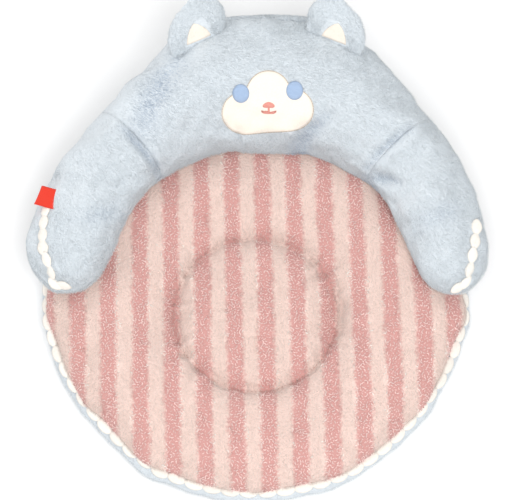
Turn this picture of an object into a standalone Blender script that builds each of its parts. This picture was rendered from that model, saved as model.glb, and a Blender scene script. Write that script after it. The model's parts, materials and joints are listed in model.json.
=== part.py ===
"""Round pet cushion bed with a plush figure that hugs it.

A quilted round mat lies on the floor. A stuffed arch goes round its back: a head across the back edge, with a
face and two ears, and an arm down each side. Every cover is a shell, and every stuffed part has its filling.
Metres, +Z up, +Y towards the head, +X to the right as seen from the front. The origin is on the floor, under the
middle of the mat.
"""

import math

import bmesh
import bpy
from mathutils import Vector
from mathutils.bvhtree import BVHTree

# Fabrics
COVER = 0.0025  # plush cover, backing and pile
BACKING = 0.0020  # plain plush of the mat's underside
GAP = 0.0004  # between pieces that touch
SLACK = 0.0015  # more room between the mat's covers and its filling
CENTRE_SLACK = 0.0169  # the same inside the stitched circle, for each metre of its radius
ARCH_SLACK = 0.0042  # and between the arch's

# Mat
MAT_WIDTH = 0.458  # seam to seam, across
MAT_DEPTH = 0.436  # seam to seam, front to back
SEAM_HEIGHT = 0.029  # middle of the edge trim
MAT_BULGE = 0.028  # how far the padded ring stands above its edges
CENTRE_BULGE = 0.018
QUILT_RADIUS = 0.089
QUILT_FORWARD = 0.020  # the stitched circle sits this far in front of the mat's middle
QUILT_DEPTH_TOP = 0.038  # height of the top cover where it is stitched down
QUILT_DEPTH_BELOW = 0.006  # how far the stitching pulls the underside up
# The underside's edge, from the floor up to the seam: distance outside the seam, and share of the seam's height
LOWER_SIDE = ((-0.022, 0.0), (-0.008, 0.08), (0.002, 0.28), (0.005, 0.55), (0.004, 0.82), (0.0, 1.0))
UNDERSIDE_TURN = 0.018  # the pad's lower edge is cut back this far, where the underside rises to its stitching
THREAD = 0.0014
MAT_SEGMENTS = 36
FRONT_TAPER = 0.035  # the mat draws in by this share on both sides of its front
RING_STEPS, CENTRE_STEPS = 7, 4  # across the padded ring, and out to the stitching

# Scalloped trim
TRIM_THICK = 0.004
TRIM_REACH = 0.009  # how far a petal stands out of the seam
TRIM_TAPE = 0.003  # how far the tape goes into the seam
SEAM_TURN = 0.0015  # the covers' edges turn in this far at the seam
PETAL = 0.020
PETAL_POINTS = 4

# Arch: x, y, height of the middle, half width, half height, lean of the section in degrees.
# The first and last stations are the ends of the arms, and the eighth is the middle of the head.
# They are drawn for a mat of this width and depth, and their places follow the mat's own.
ARCH_MAT_WIDTH, ARCH_MAT_DEPTH = 0.458, 0.436
ARCH_DRAWN = (
    (-0.215, -0.008, 0.074, 0.036, 0.024, 14.0),
    (-0.206, 0.022, 0.078, 0.041, 0.027, 14.0),
    (-0.198, 0.056, 0.080, 0.049, 0.030, 14.0),
    (-0.182, 0.101, 0.082, 0.050, 0.033, 14.0),
    (-0.159, 0.134, 0.084, 0.047, 0.036, 12.0),
    (-0.133, 0.163, 0.086, 0.048, 0.042, 6.0),
    (-0.090, 0.196, 0.090, 0.055, 0.051, 0.0),
    (-0.039, 0.229, 0.090, 0.074, 0.057, 0.0),
    (0.015, 0.234, 0.090, 0.078, 0.059, 0.0),
    (0.071, 0.224, 0.090, 0.073, 0.057, 0.0),
    (0.117, 0.190, 0.088, 0.056, 0.051, 0.0),
    (0.156, 0.155, 0.086, 0.048, 0.042, 6.0),
    (0.179, 0.123, 0.084, 0.046, 0.036, 12.0),
    (0.196, 0.086, 0.082, 0.046, 0.033, 14.0),
    (0.207, 0.050, 0.080, 0.043, 0.029, 14.0),
    (0.214, 0.019, 0.078, 0.038, 0.026, 14.0),
    (0.221, -0.009, 0.074, 0.034, 0.024, 14.0),
)
ARCH = [
    (x * (MAT_WIDTH / ARCH_MAT_WIDTH), y * (MAT_DEPTH / ARCH_MAT_DEPTH), *section)
    for x, y, *section in ARCH_DRAWN
]
LEFT_SHOULDER, HEAD_MIDDLE, RIGHT_SHOULDER = 5, 8, 11  # stations where the arch bends, and its middle
ARM_END = 0.036  # length of the rounded end of an arm
ARM_PLUG = 0.0012  # the covers close the very end of an arm
FILLING_END = 0.022  # the filling stops this far short of it
SHOULDER_GAP = 0.0008
HEAD_SEAM, ARM_SEAM = 52.0, 68.0  # degrees up from the outer side, where the top cover meets the under cover
INNER_SEAM = 206.0
TOP_STEPS, UNDER_STEPS = 12, 18
SEAM_GAP = 0.0014  # between the covers
HEAD_DROP = 0.100  # how far the head's back sags below its middle, until the floor stops it
REST_CLEARANCE = 0.0012  # between the arch and the mat that it lies on
BRIDGE_SHARE = 0.88  # from this share of the ring's width the arch bridges straight to the trim's outer edge
SIDE_SLOPE = 0.9  # how steeply its underside comes down from there to the floor
TRIM_MARGIN = 0.004  # it clears the trim's outer edge by this

# Ears
EAR_OFFSETS = {"left": -0.062, "right": 0.057}  # along the arch from the middle of the head
EAR_WIDTH = 0.075
EAR_ROUNDING = 2.2  # the higher it is, the squarer the ear's tip
EAR_ROOT_SHARE, EAR_FLARE = 0.94, 0.10  # of its width at the root, and what it gains up to the tip
EAR_PLUMP_TO, EAR_PLUMPNESS = 0.8, 0.7  # the share of its height that is stuffed, and how full that is
EAR_HEIGHT = 0.050
EAR_THICK = 0.022
EAR_RISE = 39.0  # degrees above level
EAR_UPRIGHT = 0.8  # 0 points straight out of the head, and 1 straight back
EAR_STANDOFFS = {"left": 0.0014, "right": 0.0016}  # the ear's thin root stands on the head's seam
EAR_ROOT = 0.0030
INNER_EAR_WIDTH, INNER_EAR_HEIGHT = 0.027, 0.021
INNER_EAR_START = 0.05  # the share of the ear's height at which it begins
INNER_EAR_TAPER, INNER_EAR_CURVE = 0.72, 1.6

# Face
FACE_ANGLE = 128.5  # degrees round the head's section
FELT = 0.0012
FELT_LIFT = 0.0017  # from the plush to the felt
LOBE_TOP, LOBE_LEFT, LOBE_RIGHT = (0.0, 0.0145, 0.024), (-0.028, -0.008, 0.024), (0.026, -0.004, 0.0235)
PATCH_POINTS = 36  # round the patch's outline
PATCH_STITCH_MARGIN = 0.0019  # from the felt's edge to the thread
EYE_RADIUS = 0.0092
EYES = {"left_eye": (-0.030, 0.014), "right_eye": (0.0285, 0.0165)}
NOSE_PLACE, NOSE_SIZE = (0.0, 0.001), (0.0058, 0.0032)
MOUTH_PLACE, MOUTH_WIDTH, MOUTH_HEIGHT = (0.0, -0.0062), 0.0165, 0.0032
EMBROIDERY = 0.0013

# Side tag
TAG_AT = 0.094  # along the left arm, from its end
TAG_WIDTH, TAG_LENGTH, TAG_THICK = 0.023, 0.0225, 0.0010
TAG_DROOP = 12.0
TAG_STANDOFF = 0.0015

# Arm trim
ARM_TRIM_START, ARM_TRIM_LENGTH = 0.004, 0.076  # from the end of the arm
ARM_TRIM_WIDE, ARM_PETAL = 0.012, 0.018
ARM_TRIM_THICK = 0.003
ARM_TRIM_NARROW = 0.35  # its width between two petals, as a share of the widest
ARM_TRIM_CURL = 6.0  # how quickly its edges bend down, for each metre

COLOURS = {
    "blue_plush": (0.64, 0.72, 0.77),
    "striped_plush": (0.85, 0.58, 0.54),
    "cream_trim": (0.86, 0.80, 0.72),
    "cream_felt": (0.90, 0.84, 0.76),
    "blue_thread": (0.40, 0.52, 0.74),
    "coral_thread": (0.85, 0.36, 0.32),
    "seam_thread": (0.62, 0.45, 0.40),
    "edge_thread": (0.55, 0.48, 0.38),
    "tag_ribbon": (0.88, 0.10, 0.04),
    "fibre_fill": (0.90, 0.90, 0.88),
}


def clear_scene():
    for obj in list(bpy.data.objects):
        bpy.data.objects.remove(obj)


def material(name):
    made = bpy.data.materials.get(name)
    if made is None:
        made = bpy.data.materials.new(name)
        made.use_nodes = True
        shader = made.node_tree.nodes["Principled BSDF"]
        shader.inputs["Base Color"].default_value = (*COLOURS[name], 1.0)
        shader.inputs["Roughness"].default_value = 0.95
        shader.inputs["Metallic"].default_value = 0.0
    return made


def add_object(name, data, fabric):
    obj = bpy.data.objects.new(name, data)
    obj.data.materials.append(material(fabric))
    PARTS.objects.link(obj)
    return obj


def mesh_object(name, points, faces, fabric):
    """A mesh object from points and faces, with its faces turned outwards."""
    mesh = bpy.data.meshes.new(name)
    shape = bmesh.new()
    verts = [shape.verts.new(p) for p in points]
    for face in faces:
        shape.faces.new([verts[i] for i in face])
    bmesh.ops.recalc_face_normals(shape, faces=shape.faces)
    shape.to_mesh(mesh)
    shape.free()
    mesh.shade_smooth()
    return add_object(name, mesh, fabric)


def loft_faces(rings, points_each, closed):
    """Quads between neighbouring rings. A closed loft joins its last ring to its first."""
    faces = []
    for i in range(rings if closed else rings - 1):
        a, b = i * points_each, (i + 1) % rings * points_each
        for j in range(points_each):
            k = (j + 1) % points_each
            faces.append((a + j, b + j, b + k, a + k))
    return faces


def loft(name, rings, fabric, closed=False):
    """One closed solid through rings of equally many points, with flat ends unless it is closed on itself."""
    count = len(rings[0])
    points = [p for ring in rings for p in ring]
    faces = loft_faces(len(rings), count, closed)
    if not closed:
        faces.append(tuple(range(count)))
        faces.append(tuple(range(len(points) - count, len(points))))
    return mesh_object(name, points, faces, fabric)


def thicken(obj, thickness, offset=-1.0):
    """Gives an open surface its thickness: -1 goes in from the surface, +1 goes out."""
    solid = obj.modifiers.new("Thickness", "SOLIDIFY")
    solid.thickness = thickness
    solid.offset = offset
    solid.use_even_offset = True
    return obj


# Mat


def seam_radius(angle):
    """Distance from the stitched circle's centre to the mat's seam."""
    half_x, half_y = MAT_WIDTH / 2, MAT_DEPTH / 2
    c, s = math.cos(angle), math.sin(angle)
    a = (c / half_x) ** 2 + (s / half_y) ** 2
    b = -2 * s * QUILT_FORWARD / half_y**2
    radius = (-b + math.sqrt(b * b - 4 * a * ((QUILT_FORWARD / half_y) ** 2 - 1))) / (2 * a)
    in_front = math.asin(max(0.0, -s))
    return radius * (1 - FRONT_TAPER * max(0.0, math.sin(3 * in_front)))


def mat_point(radius, angle, height):
    return Vector((radius * math.cos(angle), radius * math.sin(angle) - QUILT_FORWARD, height))


def mat_angles(count=MAT_SEGMENTS):
    return [2 * math.pi * i / count for i in range(count)]


def ring_top(share):
    """Height of the padded ring at a share of its width: 0 at the stitching, 1 at the seam."""
    rise = math.sqrt(max(0.0, 4 * share * (1 - share)))
    return QUILT_DEPTH_TOP + (TOP_SEAM - QUILT_DEPTH_TOP) * share + MAT_BULGE * rise


def centre_top(share):
    """Height of the pad in the stitched circle: 0 at its middle, 1 at the stitching."""
    return QUILT_DEPTH_TOP + CENTRE_BULGE * math.sqrt(max(0.0, 1 - share * share))


def ring_shares():
    """Shares of the ring's width that lie close together at both ends, where the cover turns down."""
    return [(1 - math.cos(math.pi * i / RING_STEPS)) / 2 for i in range(RING_STEPS + 1)]


TOP_SEAM = SEAM_HEIGHT + TRIM_THICK / 2 + GAP + SEAM_TURN
LOWER_SEAM = SEAM_HEIGHT - TRIM_THICK / 2 - GAP - SEAM_TURN
CENTRE_SHARES = [math.sin(math.pi / 2 * i / CENTRE_STEPS) for i in range(CENTRE_STEPS + 1)]
CENTRE_OVER = [(share * QUILT_RADIUS, centre_top(share)) for share in CENTRE_SHARES]
CENTRE_UNDER = [(0.0, 0.0), (QUILT_RADIUS - UNDERSIDE_TURN, 0.0), (QUILT_RADIUS, QUILT_DEPTH_BELOW)]


def ring_over(angle):
    """(radius, height) along the top cover, from the stitching out to the seam."""
    width = seam_radius(angle) - QUILT_RADIUS
    return [(QUILT_RADIUS + share * width, ring_top(share)) for share in ring_shares()]


def ring_under(angle):
    """The same along the underside, which bulges out below the seam."""
    seam, turn = seam_radius(angle), QUILT_RADIUS + UNDERSIDE_TURN
    flat = [(QUILT_RADIUS, QUILT_DEPTH_BELOW), (turn, 0.0), ((turn + seam) / 2, 0.0)]
    return flat + [(seam + out, LOWER_SEAM * share) for out, share in LOWER_SIDE]


def mat_cover(name, centre, ring, fabric):
    """An open surface from the stitched circle's centre out to the seam."""
    points = [mat_point(centre[0][0], 0, centre[0][1])]
    for radius, height in centre[1:]:
        points += [mat_point(radius, a, height) for a in mat_angles()]
    profiles = [ring(a) for a in mat_angles()]
    for step in range(1, len(profiles[0])):
        points += [mat_point(p[step][0], a, p[step][1]) for p, a in zip(profiles, mat_angles())]
    rings = len(centre) + len(profiles[0]) - 2
    faces = [(0, 1 + j, 1 + (j + 1) % MAT_SEGMENTS) for j in range(MAT_SEGMENTS)]
    faces += [tuple(i + 1 for i in f) for f in loft_faces(rings, MAT_SEGMENTS, False)]
    mesh = bpy.data.meshes.new(name)
    mesh.from_pydata(points, [], faces)
    mesh.shade_smooth()
    return add_object(name, mesh, fabric)


def make_mat_covers():
    thicken(mat_cover("mat_top_cover", CENTRE_OVER, ring_over, "striped_plush"), COVER)
    below = mat_cover("mat_bottom_cover", CENTRE_UNDER, ring_under, "blue_plush")
    below.data.flip_normals()
    thicken(below, BACKING)


def make_ring_filling():
    """The padded ring's fibre, between the stitching and the seam."""
    room, below_room, floor = COVER + SLACK, BACKING + SLACK, BACKING + GAP
    rings = []
    for angle in mat_angles():
        inner = QUILT_RADIUS + room
        outer = seam_radius(angle) - TRIM_TAPE - SLACK
        upper = []
        for share in ring_shares():
            drop = room * math.sqrt(max(0.0, 4 * share * (1 - share)))
            upper.append(mat_point(inner + share * (outer - inner), angle, ring_top(share) - drop))
        lower = [mat_point(inner, angle, QUILT_DEPTH_BELOW + room)]
        under = ring_under(angle)
        lower.append(mat_point(under[1][0] + room, angle, floor))
        lower.append(mat_point(under[2][0], angle, floor))
        lower.append(mat_point(under[3][0] - below_room, angle, floor))
        for radius, height in under[4:-1]:
            lower.append(mat_point(radius - below_room * 2, angle, height + below_room))
        lower.append(mat_point(outer, angle, LOWER_SEAM + room / 2))
        rings.append(upper + lower[::-1])
    loft("mat_ring_filling", rings, "fibre_fill", closed=True)


def make_centre_filling():
    """The pad inside the stitched circle: a turned lens that is flat below."""
    room = COVER + CENTRE_SLACK * QUILT_RADIUS
    radius = QUILT_RADIUS - room
    floor = BACKING + GAP
    profile = [(0.0, 0.0, centre_top(0.0) - room)]
    for share in CENTRE_SHARES[1:]:
        high = QUILT_DEPTH_TOP + (CENTRE_BULGE - room) * math.sqrt(max(0.0, 1 - share * share))
        profile.append((radius * share, 0.0, high))
    profile.append((radius, 0.0, QUILT_DEPTH_BELOW + room))
    profile.append((radius - UNDERSIDE_TURN, 0.0, floor))
    profile.append((0.0, 0.0, floor))
    mesh = bpy.data.meshes.new("mat_centre_filling")
    mesh.from_pydata(profile, [(i, i + 1) for i in range(len(profile) - 1)], [])
    obj = add_object("mat_centre_filling", mesh, "fibre_fill")
    obj.location = (0, -QUILT_FORWARD, 0)
    turn = obj.modifiers.new("Turn", "SCREW")
    turn.steps = turn.render_steps = MAT_SEGMENTS
    turn.use_merge_vertices = True
    turn.merge_threshold = 0.0001
    turn.use_normal_calculate = True


def ring_curve(name, radius, height, thread, fabric):
    """A ring of thread round the stitched circle."""
    curve = bpy.data.curves.new(name, "CURVE")
    curve.dimensions = "3D"
    curve.bevel_depth = thread / 2
    curve.bevel_resolution = 0
    spline = curve.splines.new("POLY")
    spline.points.add(MAT_SEGMENTS - 1)
    for point, angle in zip(spline.points, mat_angles()):
        point.co = (*mat_point(radius, angle, height), 1)
    spline.use_cyclic_u = True
    add_object(name, curve, fabric)


def make_quilting():
    """The circle of stitching holds both covers together, and lies in a groove above and below."""
    ring_curve("quilting_thread_top", QUILT_RADIUS, QUILT_DEPTH_TOP + 2.1 * THREAD, THREAD, "seam_thread")
    ring_curve("quilting_thread_below", QUILT_RADIUS, QUILT_DEPTH_BELOW - 1.2 * THREAD, THREAD, "seam_thread")


def petal_reach(share):
    """How far a scalloped edge stands out at a share of one petal."""
    return math.sin(math.pi * share) ** 0.6


def make_edge_trim():
    """A flat scalloped ring whose tape is sewn into the mat's seam."""
    middle = (MAT_WIDTH + MAT_DEPTH) / 4
    petals = round(2 * math.pi * middle / PETAL)
    curve = bpy.data.curves.new("mat_edge_trim", "CURVE")
    curve.dimensions = "2D"
    curve.fill_mode = "BOTH"
    curve.extrude = TRIM_THICK / 2
    count = petals * PETAL_POINTS
    outline = curve.splines.new("POLY")
    outline.points.add(count - 1)
    for i, point in enumerate(outline.points):
        angle = 2 * math.pi * i / count
        reach = TRIM_REACH * petal_reach(i % PETAL_POINTS / PETAL_POINTS)
        point.co = (*mat_point(seam_radius(angle) + reach, angle, 0), 1)
    hole = curve.splines.new("POLY")
    hole.points.add(MAT_SEGMENTS - 1)
    for point, angle in zip(hole.points, mat_angles()):
        point.co = (*mat_point(seam_radius(angle) - TRIM_TAPE, angle, 0), 1)
    outline.use_cyclic_u = hole.use_cyclic_u = True
    trim = add_object("mat_edge_trim", curve, "cream_trim")
    trim.location = (0, 0, SEAM_HEIGHT)


# Arch


def blend_stations(t):
    """The arch's station at t, on a smooth curve through the listed ones."""
    i = min(int(t), len(ARCH) - 2)
    f = t - i
    before, a = ARCH[max(i - 1, 0)], ARCH[i]
    b, after = ARCH[i + 1], ARCH[min(i + 2, len(ARCH) - 1)]
    return [
        0.5 * (2 * q + (r - p) * f + (2 * p - 5 * q + 4 * r - s) * f**2 + (3 * q - p - 3 * r + s) * f**3)
        for p, q, r, s in zip(before, a, b, after)
    ]


def arch_lengths(steps_each=20):
    """(t, length along the arch) from the end of the left arm."""
    table, length, last = [], 0.0, None
    for i in range((len(ARCH) - 1) * steps_each + 1):
        here = Vector(blend_stations(i / steps_each)[:2])
        length += (here - last).length if last is not None else 0.0
        table.append((i / steps_each, length))
        last = here
    return table


LENGTHS = arch_lengths()
ARCH_LENGTH = LENGTHS[-1][1]


def length_at(t):
    return next(length for at, length in LENGTHS if at >= t - 1e-9)


def t_at(length):
    length = min(max(length, 0.0), ARCH_LENGTH)
    for (t0, l0), (t1, l1) in zip(LENGTHS, LENGTHS[1:]):
        if l1 >= length:
            return t0 + (t1 - t0) * (length - l0) / max(l1 - l0, 1e-9)
    return LENGTHS[-1][0]


def arch_frame(length):
    """The section's middle, the way along the arch, the way outwards, its half sizes, lean and drop."""
    t = t_at(length)
    x, y, height, half_width, half_height, lean = blend_stations(t)
    ahead, back = blend_stations(min(t + 0.05, len(ARCH) - 1)), blend_stations(max(t - 0.05, 0))
    along = (Vector(ahead[:2]) - Vector(back[:2])).normalized()
    outward = Vector((-along.y, along.x, 0))
    from_end = min(length, ARCH_LENGTH - length)
    share = min(1.0, from_end / ARM_END)
    rounded = math.sqrt(max(0.0, 1 - (1 - share) ** 2))
    headness = max(0.0, 1 - abs(t - HEAD_MIDDLE) / (HEAD_MIDDLE - LEFT_SHOULDER)) ** 0.5
    drop = half_height + (HEAD_DROP - half_height) * headness
    return {
        "length": length,
        "middle": Vector((x, y, height)),
        "along": Vector((along.x, along.y, 0)),
        "outward": outward,
        "wide": half_width * rounded,
        "high": half_height * rounded,
        "drop": drop * rounded,
        "lean": math.radians(lean),
        "seam": ARM_SEAM + (HEAD_SEAM - ARM_SEAM) * headness,
    }


def seat_height(x, y):
    """Height of what lies under the arch: the mat, its trim, or the floor."""
    angle = math.atan2(y + QUILT_FORWARD, x)
    radius = math.hypot(x, y + QUILT_FORWARD)
    seam = seam_radius(angle)
    share = (radius - QUILT_RADIUS) / (seam - QUILT_RADIUS)
    if share < 0:
        return centre_top(radius / QUILT_RADIUS)
    if share < BRIDGE_SHARE:
        return ring_top(share)
    corner = seam + TRIM_REACH + TRIM_MARGIN
    if radius > corner:
        return max(0.0, TOP_SEAM - SIDE_SLOPE * (radius - corner))
    start = QUILT_RADIUS + BRIDGE_SHARE * (seam - QUILT_RADIUS)
    return TOP_SEAM + (ring_top(BRIDGE_SHARE) - TOP_SEAM) * (corner - radius) / (corner - start)


def arch_point(frame, angle, inset=0.0):
    """A point of the arch's skin, or of a layer inset below it. Its underside lies on what is under it."""
    wide, high, drop = (max(size - inset, 0.0004) for size in (frame["wide"], frame["high"], frame["drop"]))
    c, s = math.cos(math.radians(angle)), math.sin(math.radians(angle))
    side, up = wide * c, (high if s > 0 else drop) * s
    lean = frame["lean"]
    side, up = side * math.cos(lean) + up * math.sin(lean), up * math.cos(lean) - side * math.sin(lean)
    point = frame["middle"] + frame["outward"] * side
    under = seat_height(point.x, point.y)
    point.z = max(point.z + up, under + REST_CLEARANCE * (under > 0) + min(inset, COVER + ARCH_SLACK))
    return point


def spread_angles(first, last, steps):
    return [first + (last - first) * i / steps for i in range(steps + 1)]


def arch_spans(start, end, step=0.018):
    """Places along a stretch of the arch, closer together at the rounded end of an arm."""
    count = max(2, round((end - start) / step))
    places = [start + (end - start) * i / count for i in range(count + 1)]
    if start < ARM_END:
        places = [ARM_PLUG, 0.004, 0.012, 0.022] + [p for p in places if p > ARM_END * 0.9]
    if end > ARCH_LENGTH - ARM_END:
        tail = [ARCH_LENGTH - d for d in (0.022, 0.012, 0.004, ARM_PLUG)]
        places = [p for p in places if p < ARCH_LENGTH - ARM_END * 0.9] + tail
    return places


def arch_cover(name, start, end, over):
    """A shell over the upper or the lower part of the arch's section, from one seam round to the other."""
    rings = []
    for place in arch_spans(start, end):
        frame = arch_frame(place)
        at_tip = min(place, ARCH_LENGTH - place) < 0.002
        inset = frame["wide"] if at_tip else min(COVER, frame["high"] * 0.7)
        slit = math.degrees(min(0.3, SEAM_GAP / 2 / frame["wide"]))
        angles = cover_angles(frame, over, slit)
        outer = [arch_point(frame, a) for a in angles]
        inner = [arch_point(frame, a, inset) for a in reversed(angles)]
        rings.append(outer + inner)
    return loft(name, rings, "blue_plush")


def cover_angles(frame, over, slit=0.0):
    if over:
        return spread_angles(frame["seam"] + slit, INNER_SEAM - slit, TOP_STEPS)
    return spread_angles(INNER_SEAM + slit, 360 + frame["seam"] - slit, UNDER_STEPS)


def arch_filling(name, start, end):
    room = COVER + ARCH_SLACK
    low, high = max(start, FILLING_END), min(end, ARCH_LENGTH - FILLING_END)
    rings = []
    for place in [p for p in arch_spans(start, end) if low <= p <= high]:
        frame = arch_frame(place)
        angles = cover_angles(frame, False) + cover_angles(frame, True)[2:-1:2]
        rings.append([arch_point(frame, a, room) for a in angles])
    loft(name, rings, "fibre_fill")


SHOULDERS = (length_at(LEFT_SHOULDER), length_at(RIGHT_SHOULDER))
ARCH_PARTS = {
    "left_arm": (0.0, SHOULDERS[0] - SHOULDER_GAP / 2),
    "head": (SHOULDERS[0] + SHOULDER_GAP / 2, SHOULDERS[1] - SHOULDER_GAP / 2),
    "right_arm": (SHOULDERS[1] + SHOULDER_GAP / 2, ARCH_LENGTH),
}


def make_arch():
    """The stuffed arch. Its covers part at the shoulder folds, where the arms lift."""
    for name, (start, end) in ARCH_PARTS.items():
        arch_cover(f"{name}_top_cover", start, end, True)
        arch_cover(f"{name}_under_cover", start, end, False)
        arch_filling(f"{name}_filling", start, end)


def skin_normal(length, angle):
    """The way out of the arch's skin, from its neighbours along and round."""
    along = arch_point(arch_frame(length + 0.002), angle) - arch_point(arch_frame(length - 0.002), angle)
    frame = arch_frame(length)
    around = arch_point(frame, angle + 2) - arch_point(frame, angle - 2)
    normal = along.cross(around).normalized()
    return -normal if normal.dot(arch_point(frame, angle) - frame["middle"]) < 0 else normal


# Arm trims and tag


def arm_trim(name, place_at):
    """A scalloped strip that stands on the arm's outer seam, from near its end to halfway up the arm."""
    petals = round(ARM_TRIM_LENGTH / ARM_PETAL)
    count = petals * PETAL_POINTS
    points, across = [], 3
    for i in range(count + 1):
        frame = arch_frame(place_at(ARM_TRIM_START + ARM_TRIM_LENGTH * i / count))
        seam = frame["seam"]
        normal = skin_normal(frame["length"], seam)
        root = arch_point(frame, seam) + normal * (GAP + ARM_TRIM_THICK / 2)
        inwards = (arch_point(frame, seam + 4) - arch_point(frame, seam - 4)).normalized()
        reach = petal_reach(i % PETAL_POINTS / PETAL_POINTS)
        wide = ARM_TRIM_WIDE * (ARM_TRIM_NARROW + (1 - ARM_TRIM_NARROW) * reach)
        for j in range(across + 1):
            side = (j / across - 0.5) * wide
            points.append(root + inwards * side - normal * (ARM_TRIM_CURL * side * side))
    faces = []
    for i in range(count):
        for j in range(across):
            a = i * (across + 1) + j
            faces.append((a, a + 1, a + across + 2, a + across + 1))
    trim = mesh_object(name, points, faces, "cream_trim")
    thicken(trim, ARM_TRIM_THICK * 0.6, offset=0.0)


def make_arm_trims():
    arm_trim("left_arm_trim", lambda d: d)
    arm_trim("right_arm_trim", lambda d: ARCH_LENGTH - d)


def tag_frame():
    """Where the tag leaves the seam, the way along the seam and the way that it points."""
    frame = arch_frame(TAG_AT)
    root = arch_point(frame, frame["seam"]) + skin_normal(TAG_AT, frame["seam"]) * TAG_STANDOFF
    droop = math.radians(TAG_DROOP)
    points = frame["outward"] * math.cos(droop) - Vector((0, 0, math.sin(droop)))
    return root, frame["along"], points


def box_between(name, corner, edges, fabric):
    """A box from a corner and its three edges."""
    a, b, c = edges
    points = [corner + a * i + b * j + c * k for i in (0, 1) for j in (0, 1) for k in (0, 1)]
    faces = [(0, 1, 3, 2), (4, 6, 7, 5), (0, 4, 5, 1), (2, 3, 7, 6), (0, 2, 6, 4), (1, 5, 7, 3)]
    return mesh_object(name, points, faces, fabric)


def make_tag():
    """A blank ribbon folded in two, sewn into the left arm's outer seam."""
    root, along, out = tag_frame()
    up = along.cross(out).normalized()
    up = up if up.z > 0 else -up
    corner = root - along * TAG_WIDTH / 2 - up * TAG_THICK / 2
    box_between("side_tag", corner, (along * TAG_WIDTH, out * TAG_LENGTH, up * TAG_THICK), "tag_ribbon")


# Ears


def ear_frame(side):
    """An ear's root on the head's seam, then the ways along its root, up the ear and out of its face."""
    frame = arch_frame(length_at(HEAD_MIDDLE) + EAR_OFFSETS[side])
    rise = math.radians(EAR_RISE)
    level = (frame["outward"] * (1 - EAR_UPRIGHT) + Vector((0, 1, 0)) * EAR_UPRIGHT).normalized()
    up = level * math.cos(rise) + Vector((0, 0, math.sin(rise)))
    root = arch_point(frame, frame["seam"]) + up * EAR_STANDOFFS[side]
    along = frame["along"]
    face = along.cross(up).normalized()
    return root, along, up, face if face.y < 0 else -face


def ear_outline(share):
    """(half width, half thickness) at a share of the ear's height."""
    round_tip = math.sqrt(max(0.0, 1 - share**EAR_ROUNDING))
    plump = math.sin(math.pi * min(1.0, share / EAR_PLUMP_TO)) ** EAR_PLUMPNESS
    half_thick = EAR_ROOT / 2 + (EAR_THICK - EAR_ROOT) / 2 * plump
    if share > EAR_PLUMP_TO:
        half_thick = EAR_ROOT / 2
    return EAR_WIDTH / 2 * (EAR_ROOT_SHARE + EAR_FLARE * share) * round_tip, half_thick


EAR_SHARES = (0.0, 0.12, 0.3, 0.5, 0.7, 0.84, 0.93, 0.985)


def ear_point(frame, share, angle, inset=0.0):
    root, along, up, face = frame
    half_wide, half_thick = (max(size - inset, 0.0003) for size in ear_outline(share))
    c, s = math.cos(math.radians(angle)), math.sin(math.radians(angle))
    return root + up * (share * EAR_HEIGHT) + along * (half_wide * c) + face * (half_thick * s)


def ear_cover(name, frame, first, last):
    rings = []
    for share in EAR_SHARES:
        thickness = 0.0012 if share < 0.9 else 0.0016
        angles = spread_angles(first + 3, last - 3, 8)
        outer = [ear_point(frame, share, a) for a in angles]
        inner = [ear_point(frame, share, a, thickness) for a in reversed(angles)]
        rings.append(outer + inner)
    loft(name, rings, "blue_plush")


def make_ear(side):
    """Two covers, a thin wad of fibre between them, and a felt patch on the front."""
    frame = ear_frame(side)
    ear_cover(f"{side}_ear_front", frame, 0, 180)
    ear_cover(f"{side}_ear_back", frame, 180, 360)
    rings = []
    for share in EAR_SHARES[1:5]:
        rings.append([ear_point(frame, share, a, 0.0017) for a in spread_angles(0, 330, 11)])
    loft(f"{side}_ear_filling", rings, "fibre_fill")
    make_inner_ear(side, frame)


def make_inner_ear(side, frame):
    """A rounded felt triangle, wide at the root of the ear."""
    root, along, up, face = frame
    rows, columns = 5, 4
    points = []
    for i in range(rows + 1):
        share = INNER_EAR_START + (INNER_EAR_HEIGHT / EAR_HEIGHT) * i / rows
        half = INNER_EAR_WIDTH / 2 * (1 - INNER_EAR_TAPER * (i / rows) ** INNER_EAR_CURVE)
        half_wide, half_thick = ear_outline(share)
        for j in range(columns + 1):
            across = (2 * j / columns - 1) * half
            bulge = math.sqrt(max(0.0, 1 - (across / half_wide) ** 2))
            forward = face * (half_thick * bulge + 2 * GAP)
            points.append(root + up * (share * EAR_HEIGHT) + along * across + forward)
    faces = []
    for i in range(rows):
        for j in range(columns):
            a = i * (columns + 1) + j
            faces.append((a, a + 1, a + columns + 2, a + columns + 1))
    patch = mesh_object(f"{side}_inner_ear", points, faces, "cream_felt")
    turn_towards(patch, face)
    thicken(patch, 0.0008, offset=1.0)


def turn_towards(obj, way):
    """Turns an open surface so that its faces look that way."""
    if sum((p.normal * p.area for p in obj.data.polygons), Vector()).dot(way) < 0:
        obj.data.flip_normals()


# Face


def face_frame():
    """Middle of the face on the head, the way to its right, up over the head and out of it."""
    place = length_at(HEAD_MIDDLE)
    frame = arch_frame(place)
    middle = arch_point(frame, FACE_ANGLE)
    out = skin_normal(place, FACE_ANGLE)
    right = frame["along"]
    up = out.cross(right).normalized()
    return middle, right, up if up.y > 0 else -up, out


class Drape:
    """Lays points of a flat drawing on the head's top cover."""

    def __init__(self):
        cover = bpy.data.objects["head_top_cover"].data
        corners = [v.co for v in cover.vertices]
        self.tree = BVHTree.FromPolygons(corners, [tuple(p.vertices) for p in cover.polygons])
        self.middle, self.right, self.up, self.out = face_frame()

    def point(self, across, high, lift):
        start = self.middle + self.right * across + self.up * high + self.out * 0.1
        hit = self.tree.ray_cast(start, -self.out)[0]
        return hit + self.out * lift


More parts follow.
